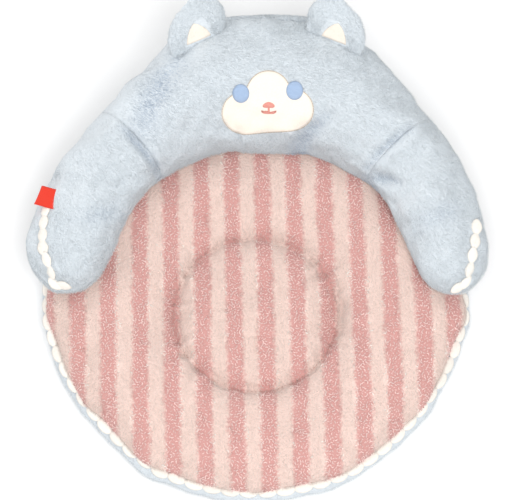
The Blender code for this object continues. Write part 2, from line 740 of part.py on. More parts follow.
def cloud_radius(angle):
    """Outline of the face patch: three lobes with a straight lower edge."""
    way = Vector((math.cos(angle), math.sin(angle)))
    reach = 0.0
    for x, y, radius in (LOBE_TOP, LOBE_LEFT, LOBE_RIGHT):
        centre = Vector((x, y))
        along = way.dot(centre)
        inside = radius**2 - (centre.length_squared - along**2)
        if inside > 0:
            reach = max(reach, along + math.sqrt(inside))
    left = Vector((LOBE_LEFT[0], LOBE_LEFT[1] - LOBE_LEFT[2]))
    right = Vector((LOBE_RIGHT[0], LOBE_RIGHT[1] - LOBE_RIGHT[2]))
    edge = right - left
    turn = way.x * edge.y - way.y * edge.x
    if turn > 1e-9:
        along = (left.x * edge.y - left.y * edge.x) / turn
        crossing = way * along
        if along > 0 and left.x <= crossing.x <= right.x:
            reach = max(reach, along)
    return reach


def felt_shape(name, drape, place, radius_at, lift, thickness, fabric, segments=28, rings=3):
    """A thin shape on the face, with its outline given as a radius for each angle."""
    points = [drape.point(*place, lift)]
    for ring in range(1, rings + 1):
        for i in range(segments):
            angle = 2 * math.pi * i / segments
            reach = radius_at(angle) * ring / rings
            points.append(
                drape.point(place[0] + reach * math.cos(angle), place[1] + reach * math.sin(angle), lift)
            )
    faces = [(0, 1 + j, 1 + (j + 1) % segments) for j in range(segments)]
    faces += [tuple(i + 1 for i in f) for f in loft_faces(rings, segments, False)]
    obj = mesh_object(name, points, faces, fabric)
    turn_towards(obj, drape.out)
    return thicken(obj, thickness, offset=1.0)


def mouth_radius(angle):
    """A wide, low oval."""
    wide, low = MOUTH_WIDTH / 2, MOUTH_HEIGHT / 2
    c, s = math.cos(angle), math.sin(angle)
    return 1 / math.sqrt((c / wide) ** 2 + (s / low) ** 2)


def nose_radius(angle):
    wide, low = NOSE_SIZE
    c, s = math.cos(angle), math.sin(angle)
    return 1 / math.sqrt((c / wide) ** 2 + (s / low) ** 2)


def make_face():
    """A felt cloud with stitched edge, and embroidered eyes, nose and mouth."""
    drape = Drape()
    felt_shape("face_patch", drape, (0, 0), cloud_radius, FELT_LIFT, FELT, "cream_felt", PATCH_POINTS, 5)
    above = FELT_LIFT + FELT + GAP
    for name, place in EYES.items():
        felt_shape(name, drape, place, lambda angle: EYE_RADIUS, above, EMBROIDERY, "blue_thread", 16, 2)
    felt_shape("nose", drape, NOSE_PLACE, nose_radius, above, EMBROIDERY, "coral_thread", 14, 2)
    felt_shape("mouth", drape, MOUTH_PLACE, mouth_radius, above, EMBROIDERY, "coral_thread", 16, 2)
    make_patch_stitching(drape)


def make_patch_stitching(drape):
    """The thread that edges the face patch, just outside it."""
    curve = bpy.data.curves.new("face_patch_stitching", "CURVE")
    curve.dimensions = "3D"
    curve.bevel_depth = 0.0005
    curve.bevel_resolution = 0
    spline = curve.splines.new("POLY")
    count = PATCH_POINTS
    spline.points.add(count - 1)
    for i, point in enumerate(spline.points):
        angle = 2 * math.pi * i / count
        reach = cloud_radius(angle) + PATCH_STITCH_MARGIN
        place = drape.point(reach * math.cos(angle), reach * math.sin(angle), FELT_LIFT + 0.0010)
        point.co = (*place, 1)
    spline.use_cyclic_u = True
    add_object("face_patch_stitching", curve, "edge_thread")


def build():
    make_mat_covers()
    make_ring_filling()
    make_centre_filling()
    make_quilting()
    make_edge_trim()
    make_arch()
    make_arm_trims()
    make_tag()
    for side in ("left", "right"):
        make_ear(side)
    make_face()


clear_scene()
PARTS = bpy.data.collections.new("pet_cushion_bed")
bpy.context.scene.collection.children.link(PARTS)
build()
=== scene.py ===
"""Pet cushion bed: a quilted, striped mat, and a stuffed plush head and arms round its back half."""

import json
import math

import bmesh
import bpy
import numpy as np
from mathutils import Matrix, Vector
from mathutils.bvhtree import BVHTree


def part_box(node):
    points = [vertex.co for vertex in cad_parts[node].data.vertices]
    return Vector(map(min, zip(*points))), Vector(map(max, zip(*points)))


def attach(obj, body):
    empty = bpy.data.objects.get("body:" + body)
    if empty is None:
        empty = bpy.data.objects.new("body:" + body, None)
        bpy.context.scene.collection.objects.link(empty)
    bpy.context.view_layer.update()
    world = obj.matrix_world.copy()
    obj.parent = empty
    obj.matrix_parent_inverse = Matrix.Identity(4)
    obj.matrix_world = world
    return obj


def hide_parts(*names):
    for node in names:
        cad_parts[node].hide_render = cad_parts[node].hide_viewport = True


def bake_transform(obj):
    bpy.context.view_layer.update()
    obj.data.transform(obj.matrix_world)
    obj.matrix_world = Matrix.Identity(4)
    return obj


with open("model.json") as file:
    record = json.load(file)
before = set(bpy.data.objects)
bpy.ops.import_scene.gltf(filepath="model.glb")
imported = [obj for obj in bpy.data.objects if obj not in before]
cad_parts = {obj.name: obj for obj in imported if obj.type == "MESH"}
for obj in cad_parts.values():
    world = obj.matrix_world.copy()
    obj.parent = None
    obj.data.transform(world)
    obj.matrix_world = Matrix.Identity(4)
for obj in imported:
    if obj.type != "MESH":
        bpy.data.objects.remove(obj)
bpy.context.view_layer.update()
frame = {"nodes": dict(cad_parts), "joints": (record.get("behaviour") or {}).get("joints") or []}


# Studio: a plain pale floor, a big soft lamp high in front, a weaker one behind, and an even pale surround.
def add(tree, kind, inputs=None, **settings):
    """A node of that kind; inputs are numbers, colours or other nodes' sockets."""
    made = tree.nodes.new(kind)
    for name, value in settings.items():
        setattr(made, name, value)
    for name, value in (inputs or {}).items():
        if isinstance(value, bpy.types.NodeSocket):
            tree.links.new(value, made.inputs[name])
        else:
            made.inputs[name].default_value = value
    return made


def maths(tree, how, *values):
    """The result of one step of arithmetic on numbers or sockets."""
    return add(tree, "ShaderNodeMath", dict(enumerate(values)), operation=how).outputs[0]


def between(tree, value, low, high, new_low=0.0, new_high=1.0):
    """A value that goes from low to high, stretched to go from new_low to new_high."""
    return add(tree, "ShaderNodeMapRange", {0: value, 1: low, 2: high, 3: new_low, 4: new_high}).outputs[0]


def in_scene(name, mesh):
    """A mesh in a new object of the scene."""
    made = bpy.data.objects.new(name, mesh)
    bpy.context.scene.collection.objects.link(made)
    return made


def dye(red, green, blue):
    """A colour as a dyer's card gives it, 0 to 255, made linear."""
    shares = [c / 255 for c in (red, green, blue)]
    return (*[c / 12.92 if c < 0.04045 else ((c + 0.055) / 1.055) ** 2.4 for c in shares], 1.0)


def finish(name, sheen=0.0, roughness=0.9, specular=0.2):
    """A new material: its tree, its shader and its name."""
    made = bpy.data.materials.new(name)
    made.use_nodes = True
    shader = made.node_tree.nodes["Principled BSDF"]
    shader.inputs["Roughness"].default_value = roughness
    shader.inputs["Specular IOR Level"].default_value = specular
    shader.inputs["Sheen Weight"].default_value = sheen
    shader.inputs["Sheen Roughness"].default_value = 0.5
    return made, made.node_tree, shader


FLOOR_HALF = 3.0
floor_mesh = bpy.data.meshes.new("floor")
floor_mesh.from_pydata(
    [(x * FLOOR_HALF, y * FLOOR_HALF, -0.0005) for x, y in ((-1, -1), (1, -1), (1, 1), (-1, 1))], [], [(0, 1, 2, 3)]
)
floor = in_scene("floor", floor_mesh)
floor_finish, tree, shader = finish("pale floor", roughness=0.8)
shader.inputs["Base Color"].default_value = (0.93, 0.93, 0.93, 1)
floor_mesh.materials.append(floor_finish)

world = bpy.data.worlds.new("surround")
world.use_nodes = True
world.node_tree.nodes["Background"].inputs["Color"].default_value = (1, 1, 1, 1)
world.node_tree.nodes["Background"].inputs["Strength"].default_value = 0.76
bpy.context.scene.world = world
bpy.context.scene.view_settings.view_transform = "Standard"

LAMPS = (  # place, size in m, watts
    ("key", (0.3, -1.15, 2.25), 1.2, 34),
    ("fill", (-1.2, 0.8, 1.8), 1.6, 8),
)
LIT = Vector((0, 0.05, 0.05))
for name, at, size, power in LAMPS:
    lamp = bpy.data.lights.new(name, "AREA")
    lamp.energy = power
    lamp.size = size
    stand = bpy.data.objects.new(name, lamp)
    stand.location = at
    stand.rotation_euler = (LIT - Vector(at)).to_track_quat("-Z", "Y").to_euler()
    bpy.context.scene.collection.objects.link(stand)

LOOK_AT = Vector((-0.0027, 0.0515, 0.05))
VIEW_HEIGHT, VIEW_FROM = math.radians(68), 2.6
camera = bpy.data.cameras.new("camera")
camera.lens = 168
camera.sensor_width = 36
tripod = bpy.data.objects.new("camera", camera)
tripod.location = LOOK_AT + VIEW_FROM * Vector((0, -math.cos(VIEW_HEIGHT), math.sin(VIEW_HEIGHT)))
tripod.rotation_euler = (LOOK_AT - tripod.location).to_track_quat("-Z", "Y").to_euler()
bpy.context.scene.collection.objects.link(tripod)
bpy.context.scene.camera = tripod


# Mat: one round cushion of two covers sewn together at the edge and quilted in a circle, the lying space.
# Its shape is read from the outside of the CAD covers, ring by ring, then blown up as stuffed cloth.
def cad_surface(*nodes):
    """The outside of some CAD nodes, to be met by rays."""
    points, faces = [], []
    for node in nodes:
        mesh = frame["nodes"][node].data
        first = len(points)
        points += [v.co.copy() for v in mesh.vertices]
        faces += [[first + i for i in p.vertices] for p in mesh.polygons]
    return BVHTree.FromPolygons(points, faces)


SLIT = 0.0024  # wider than any seam between two CAD covers, so that no ray slips through one


def met(surface, centre, way, reach):
    """Where rays from outside, coming in towards centre side by side, first meet a surface."""
    side = way.orthogonal().normalized() * SLIT
    other = way.cross(side)
    depths = []
    for shift in (Vector(), side, -side, other, -other):
        found = surface.ray_cast(centre + shift + way * reach, -way, reach)
        if found[0] is not None:
            depths.append(found[3])
    return centre + way * (reach - min(depths, default=reach - 0.01))


def closed_mesh(name, points, faces):
    """A smooth closed mesh with its faces turned outward."""
    mesh = bpy.data.meshes.new(name)
    mesh.from_pydata([tuple(p) for p in points], [], faces)
    shell = bmesh.new()
    shell.from_mesh(mesh)
    bmesh.ops.recalc_face_normals(shell, faces=shell.faces)
    shell.to_mesh(mesh)
    shell.free()
    mesh.shade_smooth()
    return mesh


def ring_mesh(name, rings, first_pole=None, last_pole=None):
    """A skin over rings of as many points each, closed by a point at either end where one is given."""
    count = len(rings[0])
    points = [p for ring in rings for p in ring]
    faces = [
        (i * count + j, (i + 1) * count + j, (i + 1) * count + (j + 1) % count, i * count + (j + 1) % count)
        for i in range(len(rings) - 1)
        for j in range(count)
    ]
    for pole, base in ((first_pole, 0), (last_pole, (len(rings) - 1) * count)):
        if pole is not None:
            points.append(pole)
            faces += [(len(points) - 1, base + j, base + (j + 1) % count) for j in range(count)]
    return in_scene(name, closed_mesh(name, points, faces))


def places(mesh):
    """The points of a mesh as an array."""
    made = np.zeros(len(mesh.vertices) * 3, np.float32)
    mesh.vertices.foreach_get("co", made)
    return made.reshape(-1, 3).astype(float)


def place(mesh, points):
    mesh.vertices.foreach_set("co", np.ascontiguousarray(points, np.float32).ravel())
    mesh.update()


def normals(mesh):
    made = np.zeros(len(mesh.vertices) * 3, np.float32)
    mesh.vertex_normals.foreach_get("vector", made)
    return made.reshape(-1, 3).astype(float)


def puff(piece, held, pressure, slack, cap, frames=20):
    """Blows a closed skin up as slack cloth. No point moves further than cap, and held ones stay."""
    group = piece.vertex_groups.new(name="held")
    group.add([int(i) for i in held], 1.0, "REPLACE")
    cloth = piece.modifiers.new("cloth", "CLOTH")
    cloth.point_cache.frame_end = frames
    cloth.settings.quality = 5
    cloth.settings.mass = 0.25
    cloth.settings.tension_stiffness = 12
    cloth.settings.compression_stiffness = 12
    cloth.settings.bending_stiffness = 0.4
    cloth.settings.use_pressure = True
    cloth.settings.uniform_pressure_force = pressure
    cloth.settings.shrink_min = -slack
    cloth.settings.vertex_group_mass = "held"
    cloth.settings.effector_weights.gravity = 0
    cloth.collision_settings.use_collision = False
    start = places(piece.data)
    for step in range(1, frames + 1):
        bpy.context.scene.frame_set(step)
    blown = piece.evaluated_get(bpy.context.evaluated_depsgraph_get())
    move = places(blown.data) - start
    far = np.linalg.norm(move, axis=1, keepdims=True)
    place(piece.data, start + move * np.minimum(1, cap / np.maximum(far, 1e-9)))
    piece.modifiers.remove(cloth)
    piece.vertex_groups.remove(group)
    bpy.context.scene.frame_set(1)


def settled(piece):
    """The piece with its modifiers made part of its mesh."""
    graph = bpy.context.evaluated_depsgraph_get()
    done = piece.evaluated_get(graph)
    mesh = bpy.data.meshes.new_from_object(done, preserve_all_data_layers=True, depsgraph=graph)
    piece.modifiers.clear()
    piece.data = mesh
    mesh.name = piece.name
    return piece


def smoother(piece):
    """The piece with its mesh made twice as fine, and round."""
    rounder = piece.modifiers.new("rounder", "SUBSURF")
    rounder.levels = rounder.render_levels = 1
    return settled(piece)


def ripple(points, size, seed):
    """A smooth uneven height, about -1 to 1, whose bumps are as far apart as size."""
    chance = np.random.default_rng(seed)
    total = np.zeros(len(points))
    for turn in range(9):
        way = chance.normal(size=3)
        way /= np.linalg.norm(way)
        pitch = size * chance.uniform(0.75, 1.6)
        total += np.sin(points @ way * (2 * math.pi / pitch) + chance.uniform(0, 2 * math.pi))
    return total / 3


def hump(values, at, width):
    """1 where the values equal at, falling smoothly to 0 as they leave it by more than width."""
    return np.exp(-(((values - at) / width) ** 2))


def part_of(whole, number, name):
    """The faces of a skin that carry one number, as a piece of their own."""
    shell = bmesh.new()
    shell.from_mesh(whole.data)
    bmesh.ops.delete(shell, geom=[f for f in shell.faces if f.material_index != number], context="FACES")
    for f in shell.faces:
        f.material_index = 0
    mesh = bpy.data.meshes.new(name)
    shell.to_mesh(mesh)
    shell.free()
    mesh.shade_smooth()
    return in_scene(name, mesh)


PLUSH = 0.0012  # the thickness of the plush's backing cloth


def lined(piece, thick=PLUSH):
    """Gives a cover its cloth's thickness, inwards, so that it is a closed shell."""
    cloth = piece.modifiers.new("cloth", "SOLIDIFY")
    cloth.thickness = thick
    cloth.offset = -1
    return settled(piece)


mat_skin = cad_surface("mat_top_cover", "mat_bottom_cover")
circle_low, circle_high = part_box("quilting_thread_top")
edge_low, edge_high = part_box("mat_edge_trim")
QUILT_AT = (circle_low + circle_high) / 2
QUILT_RADIUS = (circle_high.x - circle_low.x) / 2 - 0.0007
SEAM_HEIGHT = (edge_low.z + edge_high.z) / 2
MAT_POINTS = 132
middle = Vector((QUILT_AT.x, QUILT_AT.y, 0))
turns = np.linspace(0, 2 * math.pi, MAT_POINTS, endpoint=False)
ways = [Vector((math.cos(a), math.sin(a), 0)) for a in turns]
INSIDE, FAR = 0.02, 0.2  # a height that is inside the mat everywhere, and a way that leads out of it
COVER_EDGE = middle + Vector((0, 0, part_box("mat_top_cover")[0].z + PLUSH))
seam_at = [(met(mat_skin, COVER_EDGE, way, 2 * FAR) - COVER_EDGE).length for way in ways]
hubs = [QUILT_RADIUS + 0.5 * (reach - QUILT_RADIUS) for reach in seam_at]
UP = Vector((0, 0, 1))


def from_above(way, radius, side=1):
    """The mat's top at a radius, or its bottom where side is -1."""
    return met(mat_skin, middle + way * radius + UP * INSIDE, UP * side, FAR)


mat_rings = [[from_above(way, QUILT_RADIUS * share) for way in ways] for share in np.linspace(0.12, 1, 10)]
quilted_ring = len(mat_rings) - 1
for share in np.linspace(0.12, 1, 9):
    mat_rings.append([from_above(w, QUILT_RADIUS + (h - QUILT_RADIUS) * share) for w, h in zip(ways, hubs)])
for lean in np.radians([*np.linspace(80, 8, 15), 0, *np.linspace(-8, -84, 12)]):
    if lean == 0:
        seam_ring = len(mat_rings)
        mat_rings.append([middle + UP * SEAM_HEIGHT + w * reach for w, reach in zip(ways, seam_at)])
        continue
    mat_rings.append(
        [
            met(mat_skin, middle + w * h + UP * SEAM_HEIGHT, w * math.cos(lean) + UP * math.sin(lean), FAR)
            for w, h in zip(ways, hubs)
        ]
    )
for share in (0.9, 0.6, 0.3):
    mat_rings.append([from_above(w, h * share, -1) for w, h in zip(ways, hubs)])
mat = ring_mesh("mat", mat_rings, from_above(UP * 0, 0), from_above(UP * 0, 0, -1))
for face in mat.data.polygons:
    rows = [i // MAT_POINTS for i in face.vertices if i < len(mat_rings) * MAT_POINTS]
    face.material_index = int(max(rows) > seam_ring)
start = places(mat.data)
rows = np.arange(len(start)) // MAT_POINTS
POLE_HELD = 0.02  # the middle, where the points are too close together to swell
FLOOR_HELD = 0.004  # what rests on the floor
close_to_pole = np.linalg.norm(start[:, :2] - np.array(middle[:2]), axis=1) < POLE_HELD
on_floor = start[:, 2] < FLOOR_HELD
held = np.flatnonzero((rows == quilted_ring) | (rows == seam_ring) | on_floor | close_to_pole)
puff(mat, held, pressure=1.0, slack=0.012, cap=0.004)
smoother(mat)

# The cloth gathers into short puckers beside the quilted circle and the edge seam, the stitches pull a groove
# in, the fibre is a little uneven, and the underside bulges over the floor. Each has its height, then its widths.
PUCKER, PUCKER_WIDE, PUCKER_APART = 0.0013, 0.016, 0.016
GATHER, GATHER_WIDE, GATHER_APART = 0.0012, 0.020, 0.024
UNEVEN, UNEVEN_APART, UNEVEN_ABOVE = 0.0016, 0.055, 0.006
GROOVE, GROOVE_WIDE = 0.0052, 0.0046
CROWN, CROWN_WIDE = 0.0030, 0.055
BULGE, BULGE_WIDE, BULGE_HEIGHT = 0.0034, 0.009, 0.012
SEAM_DIP, SEAM_DIP_WIDE = 0.0020, 0.004
points = places(mat.data)
outward = normals(mat.data)
flat = points[:, :2] - np.array(middle[:2])
radius = np.linalg.norm(flat, axis=1)
turn = np.arctan2(flat[:, 1], flat[:, 0])
edge = np.interp(turn % (2 * math.pi), np.linspace(0, 2 * math.pi, MAT_POINTS + 1), seam_at + seam_at[:1])
on_top = (points[:, 2] > SEAM_HEIGHT) * 1.0
round_it = np.column_stack([np.cos(turn), np.sin(turn), np.zeros(len(turn))]) * 0.1
by_circle = hump(radius, QUILT_RADIUS, PUCKER_WIDE) * on_top
by_seam = hump(radius, edge, GATHER_WIDE)
outer = radius > QUILT_RADIUS * 1.5
lift = PUCKER * ripple(round_it, PUCKER_APART, 3) * by_circle
lift += GATHER * ripple(round_it, GATHER_APART, 4) * by_seam
lift += UNEVEN * ripple(points, UNEVEN_APART, 5) * (points[:, 2] > UNEVEN_ABOVE)
lift -= GROOVE * hump(radius, QUILT_RADIUS, GROOVE_WIDE) * on_top
lift += CROWN * hump(radius, 0, CROWN_WIDE) * on_top
lift += BULGE * hump(points[:, 2], BULGE_HEIGHT, BULGE_WIDE) * outer
lift -= SEAM_DIP * hump(points[:, 2], SEAM_HEIGHT, SEAM_DIP_WIDE) * outer
points += outward * lift[:, None]
points[:, 2] = np.maximum(points[:, 2], 0)
place(mat.data, points)

STRIPE_PITCH = 0.0341
STRIPE_AT = 0.0106  # how far right of the origin the middle of a pink stripe is
STRIPE_LEAN = 0.024  # how far the stripes lean to the left for each metre up the mat
FRAYS = ((28, 0.005), (150, 0.0040), (420, 0.0080))  # how fine each wander of the edges is, and how far


def stripes(tree):
    """How pink the striped plush is, 0 to 1, at each place on it: bands whose edges wander and fray."""
    where = add(tree, "ShaderNodeTexCoord").outputs["Object"]
    parts = add(tree, "ShaderNodeSeparateXYZ", {"Vector": where})
    across = maths(tree, "MULTIPLY_ADD", parts.outputs["Y"], STRIPE_LEAN, parts.outputs["X"])
    for scale, sway in FRAYS:
        noise = add(tree, "ShaderNodeTexNoise", {"Vector": where, "Scale": scale, "Detail": 1.0}).outputs[0]
        across = maths(tree, "MULTIPLY_ADD", maths(tree, "SUBTRACT", noise, 0.5), sway, across)
    turns = maths(tree, "MULTIPLY", maths(tree, "SUBTRACT", across, STRIPE_AT), 2 * math.pi / STRIPE_PITCH)
    return between(tree, maths(tree, "COSINE", turns), -0.45, 0.45)


def blended(tree, share, low, high, mode="MIX"):
    """Two colours, mixed by a share that is a number or a socket."""
    made = add(tree, "ShaderNodeMix", data_type="RGBA", blend_type=mode)
    for slot, value in ((0, share), (6, low), (7, high)):
        if isinstance(value, bpy.types.NodeSocket):
            tree.links.new(value, made.inputs[slot])
        else:
            made.inputs[slot].default_value = value
    return made.outputs[2]


def read(tree, name):
    return add(tree, "ShaderNodeAttribute", attribute_name=name).outputs["Fac"]


def speckle(tree, scale, detail=2.0):
    where = add(tree, "ShaderNodeTexCoord").outputs["Object"]
    return add(tree, "ShaderNodeTexNoise", {"Vector": where, "Scale": scale, "Detail": detail}).outputs[0]


def bump(tree, shader, height, depth, strength=1.0):
    relief = add(tree, "ShaderNodeBump", {"Height": height, "Distance": depth, "Strength": strength})
    tree.links.new(relief.outputs["Normal"], shader.inputs["Normal"])


# painted shade: the ROOT_SHADE colours are darker than the tips; they colour the ground and the roots of the tufts,
# where shade falls between them
PINK, PINK_ROOT_SHADE = dye(248, 220, 214), dye(203, 153, 148)
CREAM_STRIPE, CREAM_ROOT_SHADE = dye(247, 241, 234), dye(239, 221, 211)
striped_ground, tree, shader = finish("striped plush ground", sheen=0.25)
pink_here = stripes(tree)
ground = blended(tree, pink_here, CREAM_ROOT_SHADE, PINK_ROOT_SHADE)
tree.links.new(blended(tree, 0.25, ground, dye(214, 158, 150)), shader.inputs["Base Color"])
bump(tree, shader, speckle(tree, 380), 0.0015)

striped_pile, tree, shader = finish("striped plush pile", sheen=0.35)
pink_here = stripes(tree)
pale = blended(tree, pink_here, CREAM_STRIPE, PINK)
deep = blended(tree, pink_here, CREAM_ROOT_SHADE, PINK_ROOT_SHADE)
# painted shade: each tuft is coloured darker from its tip down to its root, and each curl on its underside
by_tip = blended(tree, read(tree, "tip"), deep, pale)
patchy = between(tree, read(tree, "shade"), 0, 1, 0.84, 1.04)
by_tip = blended(tree, 1.0, by_tip, patchy, "MULTIPLY")
GROOVE_PAINTED_SHADE = (0.70, 0.61, 0.58, 1)  # painted shade: the pile's colour is darkened over and beside the quilted groove
groove_shaded = blended(tree, read(tree, "fold"), (1, 1, 1, 1), GROOVE_PAINTED_SHADE)
tree.links.new(blended(tree, 1.0, by_tip, groove_shaded, "MULTIPLY"), shader.inputs["Base Color"])


# Pile: tufts of brushed fibre standing in the plush. Each is a small closed spike or curl with its own length
# and lean, set on the cloth by Geometry Nodes.
def spike(name, sides=3):
    """A tuft one unit long: a thin closed point that leans a little."""
    turns = [2 * math.pi * k / sides for k in range(sides)]
    points = [(0.11 * math.cos(turn), 0.11 * math.sin(turn), 0) for turn in turns]
    points.append((0.15, 0, 1))
    faces = [(k, (k + 1) % sides, sides) for k in range(sides)] + [tuple(reversed(range(sides)))]
    return tuft_object(name, points, faces, [0.0] * sides + [1.0])


def curl(name, bends=3, sides=4):
    """A curled lock one unit long that lies on the cloth, fat in the middle and closed at both ends."""
    points, tips = [], []
    for i in range(bends):
        angle = math.radians(-75 + 150 * (i + 0.5) / bends)
        across = Vector((math.cos(angle), math.sin(angle), 0))
        centre = across * 0.38 - Vector((0.3, 0, 0))
        fat = 0.17 if i == bends // 2 else 0.14
        for k in range(sides):
            lean = 2 * math.pi * (k + 0.5) / sides
            points.append(centre + across * fat * math.cos(lean) + UP * (fat * 0.9 * math.sin(lean) + 0.10))
            # painted shade and highlight: a curl's upper half is marked as tip and its underside as root, so its top
            # is coloured lighter
            tips.append(0.85 if math.sin(lean) > 0 else 0.1)
    faces = [
        (i * sides + k, i * sides + (k + 1) % sides, (i + 1) * sides + (k + 1) % sides, (i + 1) * sides + k)
        for i in range(bends - 1)
        for k in range(sides)
    ]
    for end, base in ((-85, 0), (85, (bends - 1) * sides)):
        angle = math.radians(end)
        points.append(Vector((0.38 * math.cos(angle) - 0.3, 0.38 * math.sin(angle), 0.02)))
        tips.append(0.1)
        faces += [(len(points) - 1, base + k, base + (k + 1) % sides) for k in range(sides)]
    return tuft_object(name, points, faces, tips)


def tuft_object(name, points, faces, tips):
    mesh = closed_mesh(name, points, faces)
    mesh.attributes.new("tip", "FLOAT", "POINT").data.foreach_set("value", tips)
    made = in_scene(name, mesh)
    made.hide_render = True
    return made


def new_tree(name, sockets):
    """An empty Geometry Nodes tree with named inputs: the tree, its inputs' node and their identifiers."""
    tree = bpy.data.node_groups.new(name, "GeometryNodeTree")
    tree.interface.new_socket("Geometry", in_out="OUTPUT", socket_type="NodeSocketGeometry")
    tree.interface.new_socket("Geometry", in_out="INPUT", socket_type="NodeSocketGeometry")
    keys = {
        label: tree.interface.new_socket(label, in_out="INPUT", socket_type="NodeSocket" + kind).identifier
        for label, kind in sockets
    }
    return tree, tree.nodes.new("NodeGroupInput"), keys


def end_tree(tree, points, given, turn, size, seed):
    """The usual end of a tree: the piece on every point, each with its own shade, made real and finished."""
    source = add(tree, "GeometryNodeObjectInfo", {"Object": given["Piece"], "As Instance": True})
    placed = add(
        tree,
        "GeometryNodeInstanceOnPoints",
        {"Points": points, "Instance": source.outputs["Geometry"], "Rotation": turn, "Scale": size},
    )
    shade = add(tree, "FunctionNodeRandomValue", {"Seed": seed}, data_type="FLOAT")
    stored = add(
        tree,
        "GeometryNodeStoreNamedAttribute",
        {"Geometry": placed.outputs[0], "Name": "shade", "Value": shade.outputs[1]},
        data_type="FLOAT",
        domain="INSTANCE",
    )
    real = add(tree, "GeometryNodeRealizeInstances", {"Geometry": stored.outputs[0]})
    made = add(tree, "GeometryNodeSetMaterial", {"Geometry": real.outputs[0], "Material": given["Finish"]})
    tree.links.new(made.outputs[0], tree.nodes.new("NodeGroupOutput").inputs[0])


def chance(tree, low, high, seed, given_seed, vector=False):
    """A random number, or a random vector, between low and high."""
    kind = "FLOAT_VECTOR" if vector else "FLOAT"
    joined = maths(tree, "ADD", given_seed, seed)
    made = add(tree, "FunctionNodeRandomValue", {"Seed": joined}, data_type=kind)
    for slot, value in ((0 if vector else 2, low), (1 if vector else 3, high)):
        if isinstance(value, bpy.types.NodeSocket):
            tree.links.new(value, made.inputs[slot])
        else:
            made.inputs[slot].default_value = value
    return made.outputs[0 if vector else 1]


pile_tree, inlet, pile_keys = new_tree(
    "pile",
    [
        ("Piece", "Object"),
        ("Finish", "Material"),
        ("Where", "String"),
        ("Spacing", "Float"),
        ("Shortest", "Float"),
        ("Longest", "Float"),
        ("Lean", "Vector"),
        ("Stray", "Float"),
        ("Swirl", "Float"),
        ("Seed", "Int"),
    ],
)
given = inlet.outputs
thick_here = add(pile_tree, "GeometryNodeInputNamedAttribute", {"Name": given["Where"]}, data_type="FLOAT")
most = maths(pile_tree, "DIVIDE", 4.0, maths(pile_tree, "MULTIPLY", given["Spacing"], given["Spacing"]))
sown = add(
    pile_tree,
    "GeometryNodeDistributePointsOnFaces",
    {
        "Mesh": given["Geometry"],
        "Distance Min": given["Spacing"],
        "Density Max": most,
        "Density Factor": thick_here.outputs[0],
        "Seed": given["Seed"],
    },
    distribute_method="POISSON",
)


def vectors(tree, how, a, b):
    """One step of arithmetic on two vectors, or on a vector and how much to scale it by."""
    second = "Scale" if how == "SCALE" else 1
    return add(tree, "ShaderNodeVectorMath", {0: a, second: b}, operation=how).outputs[0]


astray = chance(pile_tree, (-1, -1, -1), (1, 1, 1), 1, given["Seed"], vector=True)
leant = vectors(pile_tree, "ADD", vectors(pile_tree, "SCALE", astray, given["Stray"]), given["Lean"])
at = add(pile_tree, "GeometryNodeInputPosition").outputs[0]
eddies = add(pile_tree, "ShaderNodeTexNoise", {"Vector": at, "Scale": 22.0, "Detail": 1.0}).outputs["Color"]
eddies = vectors(pile_tree, "ADD", eddies, (-0.5, -0.5, -0.5))
swirled = vectors(pile_tree, "ADD", leant, vectors(pile_tree, "SCALE", eddies, given["Swirl"]))
way = vectors(pile_tree, "ADD", swirled, sown.outputs["Normal"])
upright = add(pile_tree, "FunctionNodeAlignRotationToVector", {"Vector": way}, axis="Z")
any_turn = chance(pile_tree, 0, 6.283, 2, given["Seed"])
spin = add(pile_tree, "FunctionNodeAxisAngleToRotation", {"Axis": (0, 0, 1), "Angle": any_turn})
turned = add(
    pile_tree,
    "FunctionNodeRotateRotation",
    {"Rotation": upright.outputs[0], "Rotate By": spin.outputs[0]},
    rotation_space="LOCAL",
)
long = chance(pile_tree, given["Shortest"], given["Longest"], 3, given["Seed"])
end_tree(pile_tree, sown.outputs["Points"], given, turned.outputs[0], long, given["Seed"])


def grown(source, name, tree, keys, **values):
    """What a tree makes on a source, as a plain mesh in an object of its own."""
    maker = source.modifiers.new("maker", "NODES")
    maker.node_group = tree
    for label, value in values.items():
        maker[keys[label]] = value
    graph = bpy.context.evaluated_depsgraph_get()
    done = source.evaluated_get(graph)
    mesh = bpy.data.meshes.new_from_object(done, preserve_all_data_layers=True, depsgraph=graph)
    source.modifiers.remove(maker)
    mesh.name = name
    mesh.materials.clear()
    mesh.materials.append(values["Finish"])
    mesh.polygons.foreach_set("material_index", [0] * len(mesh.polygons))
    mesh.shade_smooth()
    return in_scene(name, mesh)


def pile(source, name, tuft, material, where, spacing, size, lean=(0, 0, 0), stray=0.3, swirl=0.0, seed=1):
    """Tufts all over a source, as thick as its attribute called where says. Size is the shortest and longest."""
    values = {"Piece": tuft, "Finish": material, "Where": where, "Spacing": spacing, "Shortest": size[0]}
    values |= {"Longest": size[1], "Lean": lean, "Stray": stray, "Swirl": swirl, "Seed": seed}
    return grown(source, name, pile_tree, pile_keys, **values)


def mark(piece, name, values):
    """Writes a value from 0 to 1 at each point of a piece, such as how thick the pile is there."""
    kept = piece.data.attributes.new(name, "FLOAT", "POINT").data
    kept.foreach_set("value", np.asarray(values, np.float32))


